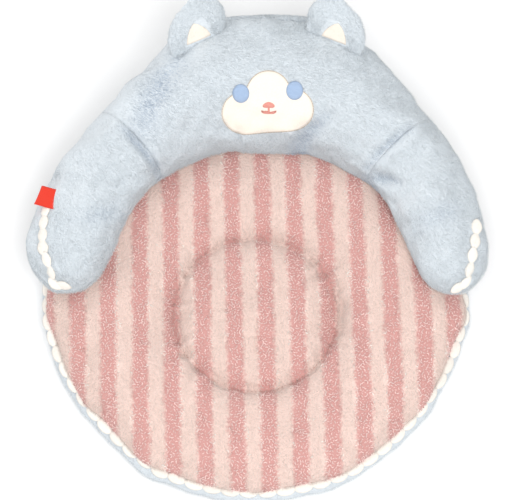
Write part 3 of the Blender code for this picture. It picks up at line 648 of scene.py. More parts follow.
tuft, lock = spike("tuft"), curl("lock")
striped_top = part_of(mat, 0, "striped_top")
underside = part_of(mat, 1, "underside")
bpy.data.objects.remove(mat)
points = places(striped_top.data)
WANDER, WANDER_APART = 0.002, 0.03  # how far the edge of a pink stripe's curls wanders
across = points[:, 0] + STRIPE_LEAN * points[:, 1] - STRIPE_AT + WANDER * ripple(points, WANDER_APART, 7)
pinkness = np.clip(np.cos(across * 2 * math.pi / STRIPE_PITCH) / 0.5 + 0.5, 0, 1)
from_circle = np.abs(np.linalg.norm(points[:, :2] - np.array(middle[:2]), axis=1) - QUILT_RADIUS)
BARE, SHADED = 0.0010, 0.0038  # how far from the circle of quilting the pile is thinner, and darkened as painted shade
clear = np.clip(from_circle / BARE, 0, 1)
# painted shade: 1 on the quilted groove, fading away from it; it darkens the pile's colour there
mark(striped_top, "fold", hump(from_circle, 0, SHADED))
mark(striped_top, "pink", pinkness * clear)
mark(striped_top, "cream", (1 - pinkness) * clear)
CURL_APART, CURL_SIZE = 0.0026, (0.0028, 0.0052)
CREAM_APART, CREAM_SIZE, CREAM_LEAN = 0.0013, (0.0024, 0.0038), (0.1, -1.2, 0)
pink_curls = pile(
    striped_top, "pink_curls", lock, striped_pile, "pink", CURL_APART, CURL_SIZE, stray=0.8, seed=11
)
nap_of = (CREAM_APART, CREAM_SIZE, CREAM_LEAN, 0.45, 1.2, 12)
cream_nap = pile(striped_top, "cream_nap", tuft, striped_pile, "cream", *nap_of)
striped_top.data.materials.clear()
striped_top.data.materials.append(striped_ground)
lined(striped_top)
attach(striped_top, "bed")
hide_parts("mat_top_cover", "mat_ring_filling", "mat_centre_filling")
for piece in (pink_curls, cream_nap):
    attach(piece, "bed")

# painted shade: BLUE_ROOT_SHADE colours the ground and the roots of the pile darker than the tips
BLUE, BLUE_ROOT_SHADE = dye(235, 240, 242), dye(211, 219, 225)
blue_ground, tree, shader = finish("blue plush ground", sheen=0.3)
roots = blended(tree, speckle(tree, 260), BLUE_ROOT_SHADE, dye(224, 230, 235))
tree.links.new(roots, shader.inputs["Base Color"])
bump(tree, shader, speckle(tree, 420), 0.0014)
blue_pile, tree, shader = finish("blue plush pile", sheen=0.4)
by_tip = blended(tree, read(tree, "tip"), BLUE_ROOT_SHADE, BLUE)
cloudy = between(tree, speckle(tree, 16, 3.0), 0.3, 0.7, 0.975, 1.02)
patchy = between(tree, read(tree, "shade"), 0, 1, 0.965, 1.02)
by_tip = blended(tree, 1.0, by_tip, cloudy, "MULTIPLY")
FOLD_PAINTED_SHADE = (0.58, 0.67, 0.80, 1)  # painted shade: the pile's colour is darkened along each fold, most in the deepest
fold_shaded = blended(tree, read(tree, "fold"), (1, 1, 1, 1), FOLD_PAINTED_SHADE)
by_tip = blended(tree, 1.0, by_tip, fold_shaded, "MULTIPLY")
tree.links.new(blended(tree, 1.0, by_tip, patchy, "MULTIPLY"), shader.inputs["Base Color"])

UNDER_BARE = 0.006  # below this height the underside has no pile, because it rests on the floor
UNDER_APART, UNDER_SIZE, UNDER_LEAN = 0.0017, (0.0022, 0.0034), (0.4, -0.3, -0.3)
mark(underside, "nap", places(underside.data)[:, 2] > UNDER_BARE)
nap_of = (UNDER_APART, UNDER_SIZE, UNDER_LEAN, 0.5, 0.0, 13)
under_nap = pile(underside, "underside_nap", tuft, blue_pile, "nap", *nap_of)
underside.data.materials.clear()
underside.data.materials.append(blue_ground)
lined(underside)
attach(underside, "bed")
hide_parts("mat_bottom_cover")
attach(under_nap, "bed")


# Sewing thread of the quilted circle, and each other row of stitches or scallops: a small piece, set by Geometry Nodes
# at an even pitch along a route and turned with it.
row_tree, inlet, row_keys = new_tree(
    "row",
    [
        ("Piece", "Object"),
        ("Finish", "Material"),
        ("Pitch", "Float"),
        ("Size", "Vector"),
        ("Sway", "Float"),
        ("Seed", "Int"),
    ],
)
given = inlet.outputs
route = add(row_tree, "GeometryNodeMeshToCurve", {"Mesh": given["Geometry"]})
by_pitch = {"Curve": route.outputs[0], "Length": given["Pitch"]}
even = add(row_tree, "GeometryNodeResampleCurve", by_pitch, mode="LENGTH")
tangent = add(row_tree, "GeometryNodeInputTangent")
facing_up = add(row_tree, "GeometryNodeInputNamedAttribute", {"Name": "facing"}, data_type="FLOAT_VECTOR")
ahead = add(row_tree, "FunctionNodeAlignRotationToVector", {"Vector": tangent.outputs[0]}, axis="X")
sway = chance(row_tree, (-1, -1, -1), (1, 1, 1), 1, given["Seed"], vector=True)
above = vectors(row_tree, "ADD", vectors(row_tree, "SCALE", sway, given["Sway"]), facing_up.outputs[0])
turned = add(
    row_tree,
    "FunctionNodeAlignRotationToVector",
    {"Rotation": ahead.outputs[0], "Vector": above},
    axis="Z",
    pivot_axis="X",
)
end_tree(row_tree, even.outputs[0], given, turned.outputs[0], given["Size"], given["Seed"])


def row(name, stops, facings, closed, piece, material, pitch, size=(1, 1, 1), sway=0.0, seed=1):
    """Pieces along a route; each stop has the way that the pieces' tops face there."""
    count = len(stops)
    mesh = bpy.data.meshes.new("route")
    edges = [(i, (i + 1) % count) for i in range(count if closed else count - 1)]
    mesh.from_pydata([tuple(p) for p in stops], edges, [])
    kept = mesh.attributes.new("facing", "FLOAT_VECTOR", "POINT").data
    kept.foreach_set("vector", np.ravel([tuple(f) for f in facings]))
    source = in_scene("route", mesh)
    values = {"Piece": piece, "Finish": material, "Pitch": pitch, "Size": size, "Sway": sway, "Seed": seed}
    made = grown(source, name, row_tree, row_keys, **values)
    bpy.data.objects.remove(source)
    return made


def petal(name, long, wide, thick, point, steps=10, around=8):
    """A soft lens along X. A point of 2 gives an oval and less gives a pointed leaf."""
    points = [Vector((-long / 2, 0, 0))]
    for x in np.linspace(-1, 1, steps)[1:-1]:
        girth = (1 - abs(x) ** point) ** 0.7
        for k in range(around):
            angle = 2 * math.pi * k / around
            section = (wide / 2 * girth * math.cos(angle), thick / 2 * girth * math.sin(angle))
            points.append(Vector((x * long / 2, *section)))
    points.append(Vector((long / 2, 0, 0)))
    last = len(points) - 1
    faces = [(0, 1 + (k + 1) % around, 1 + k) for k in range(around)]
    for i in range(steps - 3):
        a, b = 1 + i * around, 1 + (i + 1) * around
        faces += [(a + k, a + (k + 1) % around, b + (k + 1) % around, b + k) for k in range(around)]
    faces += [(last, last - around + k, last - around + (k + 1) % around) for k in range(around)]
    return tuft_object(name, points, faces, [0.5] * len(points))


def surface_of(piece):
    """The piece's own surface, to be met by rays."""
    points = [Vector(p) for p in places(piece.data)]
    return BVHTree.FromPolygons(points, [list(p.vertices) for p in piece.data.polygons])


def spun(name, colour, deep, scale=900, sheen=0.1, roughness=0.7):
    """Sewing or embroidery thread: fine streaks of a lighter and a deeper dye, with a slight shine."""
    made, tree, shader = finish(name, sheen, roughness, specular=0.3)
    streaks = speckle(tree, scale, 3.0)
    tree.links.new(blended(tree, streaks, deep, colour), shader.inputs["Base Color"])
    bump(tree, shader, streaks, 0.0004)
    return made


STITCH_LONG, STITCH_THICK, STITCH_PITCH, STITCH_SUNK = 0.0034, 0.0009, 0.0042, 0.0004
stitch = petal("stitch", STITCH_LONG, STITCH_THICK, STITCH_THICK, 3.0, steps=6, around=6)
quilting_thread = spun("quilting thread", dye(206, 146, 134), dye(170, 112, 100))
for name, surface, way in (("above", surface_of(striped_top), 1), ("below", surface_of(underside), -1)):
    stops = []
    for a in np.linspace(0, 2 * math.pi, 180, endpoint=False):
        at = middle + QUILT_RADIUS * Vector((math.cos(a), math.sin(a), 0))
        on_cloth = surface.ray_cast(at + UP * (INSIDE + FAR * way), UP * -way)[0]
        stops.append(on_cloth - UP * STITCH_SUNK * way)
    facings = [UP] * len(stops)
    stitches = row(f"quilting_stitches_{name}", stops, facings, True, stitch, quilting_thread, STITCH_PITCH)
    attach(stitches, "bed")
    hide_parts("quilting_thread_top" if way > 0 else "quilting_thread_below")


# Edge trim of the mat: a strip of soft cream fleece scallops, caught in the seam of its two covers.
fleece, tree, shader = finish("cream fleece", sheen=0.3)
soft = between(tree, read(tree, "shade"), 0, 1, 0.95, 1.03)
cream = blended(tree, speckle(tree, 420, 3.0), dye(236, 229, 219), dye(254, 250, 243))
tree.links.new(blended(tree, 1.0, cream, soft, "MULTIPLY"), shader.inputs["Base Color"])
bump(tree, shader, speckle(tree, 700), 0.0010)
SCALLOP_PITCH, SCALLOP_LONG, SCALLOP_WIDE, SCALLOP_THICK = 0.0198, 0.0222, 0.0126, 0.0042
scallop = petal("scallop", SCALLOP_LONG, SCALLOP_WIDE, SCALLOP_THICK, 2.3)
SCALLOP_UP, SCALLOP_OUT, SCALLOP_TILT = 0.0006, 0.0014, 0.35  # off the seam, and how far they tip out
trim_at = middle + UP * (SEAM_HEIGHT + SCALLOP_UP)
stops = [trim_at + w * (reach + SCALLOP_OUT) for w, reach in zip(ways, seam_at)]
facings = [UP + w * SCALLOP_TILT for w in ways]
edge_trim = row("edge_trim", stops, facings, True, scallop, fleece, SCALLOP_PITCH, sway=0.22, seed=41)
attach(edge_trim, "bed")
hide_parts("mat_edge_trim")


# Arch: one long stuffed plush roll, the head in its middle and an arm to each side, sewn on at the shoulders.
# Its skin follows the CAD covers and is blown up as cloth.
ARCH_LINE = [
    (-0.206, 0.022, 0.078), (-0.198, 0.056, 0.080), (-0.182, 0.101, 0.080), (-0.159, 0.134, 0.080),
    (-0.133, 0.163, 0.080), (-0.090, 0.196, 0.082), (-0.039, 0.229, 0.085), (0.015, 0.234, 0.085),
    (0.071, 0.224, 0.085), (0.117, 0.190, 0.082), (0.156, 0.155, 0.080), (0.179, 0.123, 0.080),
    (0.196, 0.086, 0.080), (0.207, 0.050, 0.080), (0.214, 0.019, 0.078),
]  # fmt: skip
LEFT_SHOULDER, RIGHT_SHOULDER = 4, 10


def along_line(stops, steps):
    """A smooth line through some stops, read at equal lengths: its points, and the stop that each is at."""
    stops = np.array(stops, float)
    ghost = np.vstack([2 * stops[0] - stops[1], stops, 2 * stops[-1] - stops[-2]])
    fine, at = [], []
    for i in range(len(stops) - 1):
        a, b, c, d = ghost[i : i + 4]
        for t in np.linspace(0, 1, 24, endpoint=False):
            square, cube = 2 * a - 5 * b + 4 * c - d, 3 * b - a - 3 * c + d
            fine.append(0.5 * (2 * b + (c - a) * t + square * t**2 + cube * t**3))
            at.append(i + t)
    fine, at = np.array(fine + [stops[-1]]), np.array(at + [len(stops) - 1.0])
    gone = np.concatenate([[0], np.cumsum(np.linalg.norm(np.diff(fine, axis=0), axis=1))])
    wanted = np.linspace(0, gone[-1], steps)
    line = np.column_stack([np.interp(wanted, gone, fine[:, k]) for k in range(3)])
    return [Vector(p) for p in line], np.interp(wanted, gone, at)


covers = [n for n in frame["nodes"] if n.endswith("_cover")]
arch_skin = cad_surface(*[n for n in covers if n.startswith(("head_", "left_arm_", "right_arm_"))])
ARCH_REACH = 0.105  # further than the roll is thick
ARCH_STEPS, ARCH_POINTS = 124, 56
line, stop_at = along_line(ARCH_LINE, ARCH_STEPS)
arch_rings, ring_stop = [], []


def arch_ring(centre, ahead, lean):
    """One ring of the roll, read from outside. A lean above 0 tips its rays forward, to round an end."""
    side = ahead.cross(UP).normalized()
    top = side.cross(ahead)
    ring = []
    for a in np.linspace(0, 2 * math.pi, ARCH_POINTS, endpoint=False):
        out = (side * math.cos(a) + top * math.sin(a)) * math.cos(lean) + ahead * math.sin(lean)
        ring.append((centre, out, (met(arch_skin, centre, out, ARCH_REACH) - centre).length))
    return ring


def without_pits(rings):
    """The rings' points, with each pit filled that the cloth would bridge, and the rest evened."""
    depths = np.array([[reach for _, _, reach in ring] for ring in rings])
    for choose in (np.max, np.min, np.mean):
        around = 2 if choose is not np.mean else 1
        wide = np.pad(depths, ((around, around), (0, 0)), mode="edge")
        shifted = [
            np.roll(wide[around + i : around + i + len(depths)], k, axis=1)
            for i in range(-around, around + 1)
            for k in range(-around, around + 1)
        ]
        depths = choose(shifted, axis=0)
    return [
        [centre + out * depth for (centre, out, _), depth in zip(ring, row_depths)]
        for ring, row_depths in zip(rings, depths)
    ]


TIP_BLUNT = 0.12  # how much flatter the stuffed arm's end is than its cut
first_way, last_way = (line[0] - line[1]).normalized(), (line[-1] - line[-2]).normalized()
END_LEANS = np.radians((12, 26, 40, 53, 65, 76))
for lean in reversed(END_LEANS):
    arch_rings.append(arch_ring(line[0], -first_way, -lean))
    ring_stop.append(-lean)
for i, centre in enumerate(line):
    ahead = (line[min(i + 1, ARCH_STEPS - 1)] - line[max(i - 1, 0)]).normalized()
    arch_rings.append(arch_ring(centre, ahead, 0.0))
    ring_stop.append(stop_at[i])
for lean in END_LEANS:
    arch_rings.append(arch_ring(line[-1], last_way, lean))
    ring_stop.append(len(ARCH_LINE) - 1 + lean)
arch_rings = without_pits(arch_rings)
for rings, end, way in (
    (arch_rings[: len(END_LEANS)], line[0], first_way),
    (arch_rings[-len(END_LEANS) :], line[-1], last_way),
):
    for ring in rings:
        ring[:] = [p - way * ((p - end).dot(way) * TIP_BLUNT) for p in ring]
tips = [
    end + (met(arch_skin, end, way, ARCH_REACH) - end) * (1 - TIP_BLUNT)
    for end, way in ((line[0], first_way), (line[-1], last_way))
]
arch = ring_mesh("arch", arch_rings, *tips)
ring_stop = np.array(ring_stop + [-2, len(ARCH_LINE) + 1])
for face in arch.data.polygons:
    stop = max(ring_stop[i // ARCH_POINTS] for i in face.vertices if i // ARCH_POINTS < len(arch_rings))
    face.material_index = 1 if stop <= LEFT_SHOULDER else 2 if stop > RIGHT_SHOULDER + 0.15 else 0
start = places(arch.data)
facing = normals(arch.data)
held = np.flatnonzero(facing[:, 2] < -0.55)
puff(arch, held, pressure=1.2, slack=0.03, cap=0.005)
smoother(arch)

# Folds: at both shoulders, in the valley left of the face and the groove at its lower right, along the head's
# top seam, and a dent in each arm. Each is a line on the cloth with its depth and width, and a low rim beside it.
FOLDS = [
    ((-0.145, 0.165), (-0.107, 0.125), 0.0045, 0.0050),
    ((-0.085, 0.245), (-0.125, 0.165), 0.0070, 0.0150),
    ((0.168, 0.162), (0.120, 0.127), 0.0045, 0.0050),
    ((0.124, 0.121), (0.156, 0.105), 0.0040, 0.0050),
    ((0.076, 0.175), (0.033, 0.151), 0.0050, 0.0065),
    ((-0.060, 0.2975), (0.060, 0.2985), 0.0025, 0.0025),
    ((-0.187, 0.060), (-0.150, 0.075), 0.0025, 0.0100),
    ((0.215, 0.075), (0.180, 0.055), 0.0025, 0.0100),
]
points = places(arch.data)
facing = normals(arch.data)
LUMP, LUMP_APART, CREASE, CREASE_APART = 0.0018, 0.06, 0.0008, 0.022
lift = LUMP * ripple(points, LUMP_APART, 21) + CREASE * ripple(points, CREASE_APART, 22)
RIM, RIM_OFF, RIM_WIDE = 0.45, 2.1, 1.1  # the rim's height as a share of the depth, and its place and width
FADE, FADE_FROM = 0.84, 0.08  # a fold runs out towards its ends, over this share of a half wave
FULL_FOLD = 0.006  # a fold as deep as this is shaded fully
in_fold = np.zeros(len(points))
for start, end, depth, width in FOLDS:
    start, end = np.array(start), np.array(end)
    length = end - start
    share = np.clip(((points[:, :2] - start) @ length) / (length @ length), 0, 1)
    off = np.linalg.norm(points[:, :2] - start - share[:, None] * length, axis=1)
    fade = np.sin(math.pi * np.clip(share * FADE + FADE_FROM, 0, 1)) ** 0.5
    lift += fade * depth * (RIM * hump(off, RIM_OFF * width, RIM_WIDE * width) - hump(off, 0, width))
    in_fold = np.maximum(in_fold, fade * depth / FULL_FOLD * hump(off, 0, width))
lift *= np.clip(facing[:, 2] * 2, 0, 1)
place(arch.data, points + facing * lift[:, None])
# painted shade: how deep each point lies in a fold, 0 to 1; it darkens the blue pile's colour there
mark(arch, "fold", np.clip(in_fold, 0, 1))
arch_shape = surface_of(arch)


def clear_of(points, reach, *nodes):
    """1 at points further than reach from some CAD nodes and 0 on them, to keep the pile off them."""
    if not nodes:
        return np.ones(len(points))
    sewn_on = cad_surface(*nodes)
    far = np.array([sewn_on.find_nearest(Vector(p))[3] for p in points])
    return np.clip((far - 0.6 * reach) / (0.4 * reach), 0, 1)


# What is sewn on each piece, how far off it the pile stays, which way the pile is swept, and how close it is.
ARCH_PIECES = (
    ("head", ("face_patch", "left_eye", "right_eye"), 0.0018, (1.5, -0.7, -0.3), 0.00122),
    ("left_arm", ("side_tag",), 0.0010, (0.9, -1.3, -0.5), 0.00112),
    ("right_arm", (), 0.0, (1.1, -1.2, -0.5), 0.00112),
)
ARCH_SIZE = (0.0025, 0.0040)
for number, (name, sewn, reach, sweep, apart) in enumerate(ARCH_PIECES):
    cover = part_of(arch, number, f"{name}_plush")
    points, facing = places(cover.data), normals(cover.data)
    mark(cover, "nap", np.clip((facing[:, 2] + 0.9) * 4, 0, 1) * clear_of(points, reach, *sewn))
    nap_of = (apart, ARCH_SIZE, sweep, 0.35, 1.3, 20 + number)
    nap = pile(cover, f"{name}_nap", tuft, blue_pile, "nap", *nap_of)
    cover.data.materials.clear()
    cover.data.materials.append(blue_ground)
    lined(cover)
    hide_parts(f"{name}_top_cover", f"{name}_under_cover", f"{name}_filling")
    for piece in (cover, nap):
        if name == "head":
            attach(piece, "bed")
        else:
            shoulder = LEFT_SHOULDER if name == "left_arm" else RIGHT_SHOULDER
            root = Vector(ARCH_LINE[shoulder])
            lower = Vector(ARCH_LINE[shoulder + (-2 if name == "left_arm" else 2)])
            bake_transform(piece)
bpy.data.objects.remove(arch)


# Arm trims: a short row of cream fleece leaves in the outer seam of each arm, from its middle to its tip.
LEAF_PITCH, LEAF_LONG, LEAF_WIDE, LEAF_THICK, LEAF_LIFT = 0.0144, 0.0200, 0.0138, 0.0046, 0.0010
TRIM_ROUTES = {
    "left": (
        (-0.210, -0.008), (-0.213, -0.003), (-0.218, 0.004), (-0.224, 0.018),
        (-0.229, 0.036), (-0.229, 0.058), (-0.227, 0.076),
    ),
    "right": (
        (0.219, -0.010), (0.223, -0.005), (0.228, 0.004), (0.232, 0.020), (0.236, 0.038), (0.238, 0.056),
    ),
}  # fmt: skip
TRIM_HEIGHT = 0.085  # for a stop that is just outside the arm as seen from above
leaf = petal("leaf", LEAF_LONG, LEAF_WIDE, LEAF_THICK, 1.6)
for side in ("left", "right"):
    stops, facings = [], []
    for x, y in TRIM_ROUTES[side]:
        near, facing = arch_shape.ray_cast(Vector((x, y, 0.3)), -UP)[:2]
        if near is None:
            near, facing = arch_shape.find_nearest(Vector((x, y, TRIM_HEIGHT)))[:2]
        stops.append(near + facing * LEAF_LIFT)
        facings.append(facing)
    smooth_stops, at = along_line(stops, 60)
    facings = [facings[int(round(i))] for i in at]
    name = f"{side}_arm_leaves"
    trim = row(name, smooth_stops, facings, False, leaf, fleece, LEAF_PITCH, sway=0.42, seed=42)
    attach(trim, f"{side}_arm")
    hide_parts(f"{side}_arm_trim")


# Face: a cream felt cloud laid on the front of the head and stitched down round its edge, with the eyes, the
# nose and the mouth embroidered over it in satin stitch.
patch_points = places(frame["nodes"]["face_patch"].data)
face_at = Vector(patch_points.mean(0))
face_out = Vector(np.linalg.svd(patch_points - patch_points.mean(0))[2][2])
face_out = face_out if face_out.z > 0 else -face_out
face_right = UP.cross(face_out).normalized()
face_up = face_out.cross(face_right)
FACE_TILT = math.radians(3.2)  # the face is sewn on slightly askew, lower on the left
FACE_SHIFT = 0.0016


def on_head(a, b, lift):
    """The place on the head's plush that is a to the right of and b above the face's middle."""
    a += FACE_SHIFT
    cos, sin = math.cos(FACE_TILT), math.sin(FACE_TILT)
    right, up = a * cos - b * sin, a * sin + b * cos
    start = face_at + face_right * right + face_up * up + face_out * 0.05
    return arch_shape.ray_cast(start, -face_out)[0] + face_out * lift


def face_place(node):
    """Where a CAD node's middle is on the face, and half its size, to the right and up."""
    off = places(frame["nodes"][node].data) - np.array(face_at)
    a, b = off @ np.array(face_right), off @ np.array(face_up)
    middles = (a.min() + a.max()) / 2, (b.min() + b.max()) / 2
    return *middles, (a.max() - a.min()) / 2, (b.max() - b.min()) / 2


def laid(name, outline, lift, dome, rings, thick):
    """A flat shape laid on the head: outline is its edge, and dome how far its middle stands up."""
    count = len(outline)
    centre = np.mean(outline, axis=0)
    points = [on_head(*centre, lift + dome)]
    for i in range(1, rings + 1):
        share = i / rings
        for edge in outline:
            at = centre + (np.array(edge) - centre) * share
            points.append(on_head(*at, lift + dome * math.sqrt(max(0, 1 - share**2))))
    faces = [(0, 1 + k, 1 + (k + 1) % count) for k in range(count)]
    for i in range(rings - 1):
        a, b = 1 + i * count, 1 + (i + 1) * count
        faces += [(a + k, b + k, b + (k + 1) % count, a + (k + 1) % count) for k in range(count)]
    mesh = bpy.data.meshes.new(name)
    mesh.from_pydata([tuple(p) for p in points], [], faces)
    mesh.shade_smooth()
    made = in_scene(name, mesh)
    if sum((f.normal * f.area for f in mesh.polygons), Vector()).dot(face_out) < 0:
        mesh.flip_normals()
    return lined(made, thick)


def oval(a, b, half_wide, half_high, count=28):
    turns = np.linspace(0, 2 * math.pi, count, endpoint=False)
    return [(a + half_wide * math.cos(t), b + half_high * math.sin(t)) for t in turns]


off = patch_points - np.array(face_at)
flat = np.column_stack([off @ np.array(face_right), off @ np.array(face_up)])
reach, turns = np.linalg.norm(flat, axis=1), np.arctan2(flat[:, 1], flat[:, 0])
OUTLINE_TURNS = np.linspace(-math.pi, math.pi, 37)[:-1]
apart = np.abs((turns[None, :] - OUTLINE_TURNS[:, None] + math.pi) % (2 * math.pi) - math.pi)
edge_reach = np.where(apart < math.radians(7), reach[None, :], 0).max(1)
fine_turns = np.linspace(-math.pi, math.pi, 109)[:-1]
fine_reach = np.interp(fine_turns, [*OUTLINE_TURNS, math.pi], [*edge_reach, edge_reach[0]])
fine_reach = sum(np.roll(fine_reach, k) * w for k, w in ((-2, 1), (-1, 2), (0, 3), (1, 2), (2, 1))) / 9
cloud = [(r * math.cos(t), r * math.sin(t)) for r, t in zip(fine_reach, fine_turns)]
FELT_LIFT, FELT = 0.0016, 0.0011
face_felt = laid("face_felt", cloud, FELT_LIFT, 0.0004, 12, FELT)
felt, tree, shader = finish("cream felt", sheen=0.15, roughness=0.95)
fibres = speckle(tree, 650, 4.0)
tree.links.new(blended(tree, fibres, dye(241, 229, 214), dye(252, 243, 232)), shader.inputs["Base Color"])
bump(tree, shader, fibres, 0.0006)
face_felt.data.materials.append(felt)
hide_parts("face_patch")

edge_thread = spun("edge thread", dye(176, 158, 136), dye(138, 122, 102))
STITCHED_IN, EDGE_PITCH, EDGE_SIZE = 0.985, 0.0029, (0.92, 0.50, 0.50)
stops = [on_head(a * STITCHED_IN, b * STITCHED_IN, FELT_LIFT + 0.0001) for a, b in cloud]
facings = [face_out] * len(stops)
edge_stitches = row("face_stitches", stops, facings, True, stitch, edge_thread, EDGE_PITCH, size=EDGE_SIZE)
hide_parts("face_patch_stitching")


def threads(tree, where, way, pitch):
    """A wave from -1 to 1 across threads that lie side by side along one way."""
    dot = add(tree, "ShaderNodeVectorMath", {0: where, 1: tuple(way)}, operation="DOT_PRODUCT")
    across = dot.outputs["Value"]
    return maths(tree, "SINE", maths(tree, "MULTIPLY", across, 2 * math.pi / pitch))


THREAD_PITCH = 0.0011


def satin(name, colour, deep, way):
    """Satin stitch: close, parallel threads that lie along one way of the face, with a soft shine."""
    made, tree, shader = finish(name, 0.2, 0.55, specular=0.35)
    where = add(tree, "ShaderNodeTexCoord").outputs["Object"]
    wander = add(tree, "ShaderNodeTexNoise", {"Vector": where, "Scale": 260.0})
    shaken = vectors(tree, "SCALE", wander.outputs["Color"], 0.0016)
    where = vectors(tree, "ADD", where, shaken)
    high = between(tree, threads(tree, where, way, THREAD_PITCH), -1.0, 1.0)
    share = blended(tree, 0.45, high, speckle(tree, 800, 3.0))
    tree.links.new(blended(tree, share, deep, colour), shader.inputs["Base Color"])
    bump(tree, shader, share, 0.0006)
    return made


blue_satin = satin("blue satin stitch", dye(188, 208, 234), dye(150, 178, 216), face_up)
coral_satin = satin("coral satin stitch", dye(250, 182, 168), dye(222, 128, 116), face_up)
face_pieces = [edge_stitches]
OVER_FELT = FELT_LIFT + 0.0002
for node, material, slot_name in (
    ("left_eye", blue_satin, "blue_thread"),
    ("right_eye", blue_satin, "blue_thread"),
    ("nose", coral_satin, "coral_thread"),
    ("mouth", coral_satin, "coral_thread"),
):
    a, b, half_wide, half_high = face_place(node)
    outline = oval(a, b, half_wide, half_high * 1.1)
    if node == "nose":  # a rounded triangle, wider above
        round_nose = oval(a, b, half_wide * 1.14, half_high)
        outline = [(x, y + 0.16 * half_high - 0.20 * abs(x - a)) for x, y in round_nose]
        nose_foot = b - half_high * 0.7
    if node == "mouth":  # a flat smile whose ends turn up, hung from the nose on a short stem
        bow = np.linspace(-1, 1, 15)
        curve = [(a + half_wide * x, b + 0.0019 * x**6 - 0.0012) for x in bow]
        wide = [0.0009 + 0.0003 * (1 - abs(x)) for x in bow]
        lower = [(x, y - w) for (x, y), w in zip(curve, wide)]
        upper = [(x, y + w) for (x, y), w in zip(curve, wide)]
        stem = [(a + 0.0012, b), (a + 0.0010, nose_foot), (a - 0.0010, nose_foot), (a - 0.0012, b)]
        outline = lower + upper[::-1][:7] + stem + upper[::-1][8:]
    dome = 0.0003 if node == "mouth" else 0.0009
    piece = laid(f"{node}_stitching", outline, OVER_FELT + 0.0004, dome, 4, 0.0010)
    piece.data.materials.append(material)
    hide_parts(node)
    face_pieces.append(piece)
for piece in (face_felt, *face_pieces):
    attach(piece, "bed")


# Ears: two small stuffed plush ears sewn into the top seam of the head, a cream felt triangle on each front.
# Each is blown up from its CAD covers and its root drawn down into the head.
EAR_VOXEL = 0.0030
EAR_HELD = 0.004  # below this height over its root an ear doesn't swell
SINK_FROM, SINK = 0.010, 0.009  # below the first, an ear is drawn down, by up to the second at its root
EAR_FELT, EAR_FELT_LIFT, EAR_FELT_ROWS = 0.0010, 0.0012, 10
EAR_APART, EAR_SIZE, EAR_SWEEP = 0.0011, (0.0022, 0.0036), (0.6, -0.6, -0.3)
for side in ("left", "right"):
    joint = next(j for j in frame["joints"] if j["child"] == f"{side}_ear")
    root, hinge = Vector(joint["pos_m"]), Vector(joint["axis"]).normalized()
    ear_mesh = bpy.data.meshes.new(f"{side}_ear")
    shell = bmesh.new()
    for node in (f"{side}_ear_front", f"{side}_ear_back"):
        shell.from_mesh(frame["nodes"][node].data)
    shell.to_mesh(ear_mesh)
    shell.free()
    ear = in_scene(f"{side}_ear_plush", ear_mesh)
    voxels = ear.modifiers.new("voxels", "REMESH")
    voxels.mode = "VOXEL"
    voxels.voxel_size = EAR_VOXEL
    settled(ear)
    evener = ear.modifiers.new("evener", "SMOOTH")
    evener.factor = 0.4
    evener.iterations = 2
    settled(ear)
    points = places(ear.data)
    ear_up = Vector(points.mean(0)) - root
    ear_up = (ear_up - hinge * ear_up.dot(hinge)).normalized()
    ear_face = hinge.cross(ear_up)
    ear_face = ear_face if ear_face.z > 0 else -ear_face
    height = (points - np.array(root)) @ np.array(ear_up)
    puff(ear, np.flatnonzero(height < EAR_HELD), pressure=2.0, slack=0.03, cap=0.004)
    points = places(ear.data)
    height = (points - np.array(root)) @ np.array(ear_up)
    sunk = np.clip((SINK_FROM - height) / SINK_FROM, 0, 1) ** 2 * SINK
    place(ear.data, points - np.array(ear_up) * sunk[:, None])
    smoother(ear)
    ear_shape = surface_of(ear)

    # Felt triangle, laid on the ear's front just above its root.
    inner = places(frame["nodes"][f"{side}_inner_ear"].data) - np.array(root)
    sideways, upward = inner @ np.array(hinge), inner @ np.array(ear_up)
    wide = np.ptp(sideways) / 2
    base, top = upward.min(), upward.max()
    middle_along = (sideways.min() + sideways.max()) / 2
    rows_up = columns = EAR_FELT_ROWS
    felt_points, felt_faces, flat_points = [], [], []
    for i in range(rows_up + 1):
        share = i / rows_up
        half = wide * (1 - share**1.5) ** 0.75 + 0.0006
        for k in range(columns + 1):
            along = middle_along + half * (2 * k / columns - 1)
            at = root + hinge * along + ear_up * (base + (top - base) * share)
            hit = ear_shape.ray_cast(at + ear_face * 0.04, -ear_face)[0]
            felt_points.append((hit if hit is not None else at) + ear_face * EAR_FELT_LIFT)
            flat_points.append((along, (top - base) * share))
    for i in range(rows_up):
        for k in range(columns):
            a = i * (columns + 1) + k
            felt_faces.append((a, a + 1, a + columns + 2, a + columns + 1))
    mesh = bpy.data.meshes.new(f"{side}_ear_felt")
    mesh.from_pydata([tuple(p) for p in felt_points], [], felt_faces)
    mesh.shade_smooth()
    if sum((f.normal * f.area for f in mesh.polygons), Vector()).dot(ear_face) < 0:
        mesh.flip_normals()
    ear_felt = in_scene(f"{side}_ear_felt", mesh)
    lined(ear_felt, EAR_FELT)
    ear_felt.data.materials.append(felt)
    cut = [flat_points[i * (columns + 1)] for i in range(rows_up + 1)]
    cut += [flat_points[i * (columns + 1) + columns] for i in range(rows_up, -1, -1)]

    mark(ear, "nap", clear_of(places(ear.data), 0.0035, f"{side}_inner_ear"))
    nap_of = (EAR_APART, EAR_SIZE, EAR_SWEEP, 0.38, 1.6, 30)
    nap = pile(ear, f"{side}_ear_nap", tuft, blue_pile, "nap", *nap_of)
    ear.data.materials.clear()
    ear.data.materials.append(blue_ground)
    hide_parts(f"{side}_ear_front", f"{side}_ear_back", f"{side}_ear_filling")
    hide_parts(f"{side}_inner_ear")
    for piece in (ear, nap, ear_felt):
        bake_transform(piece)


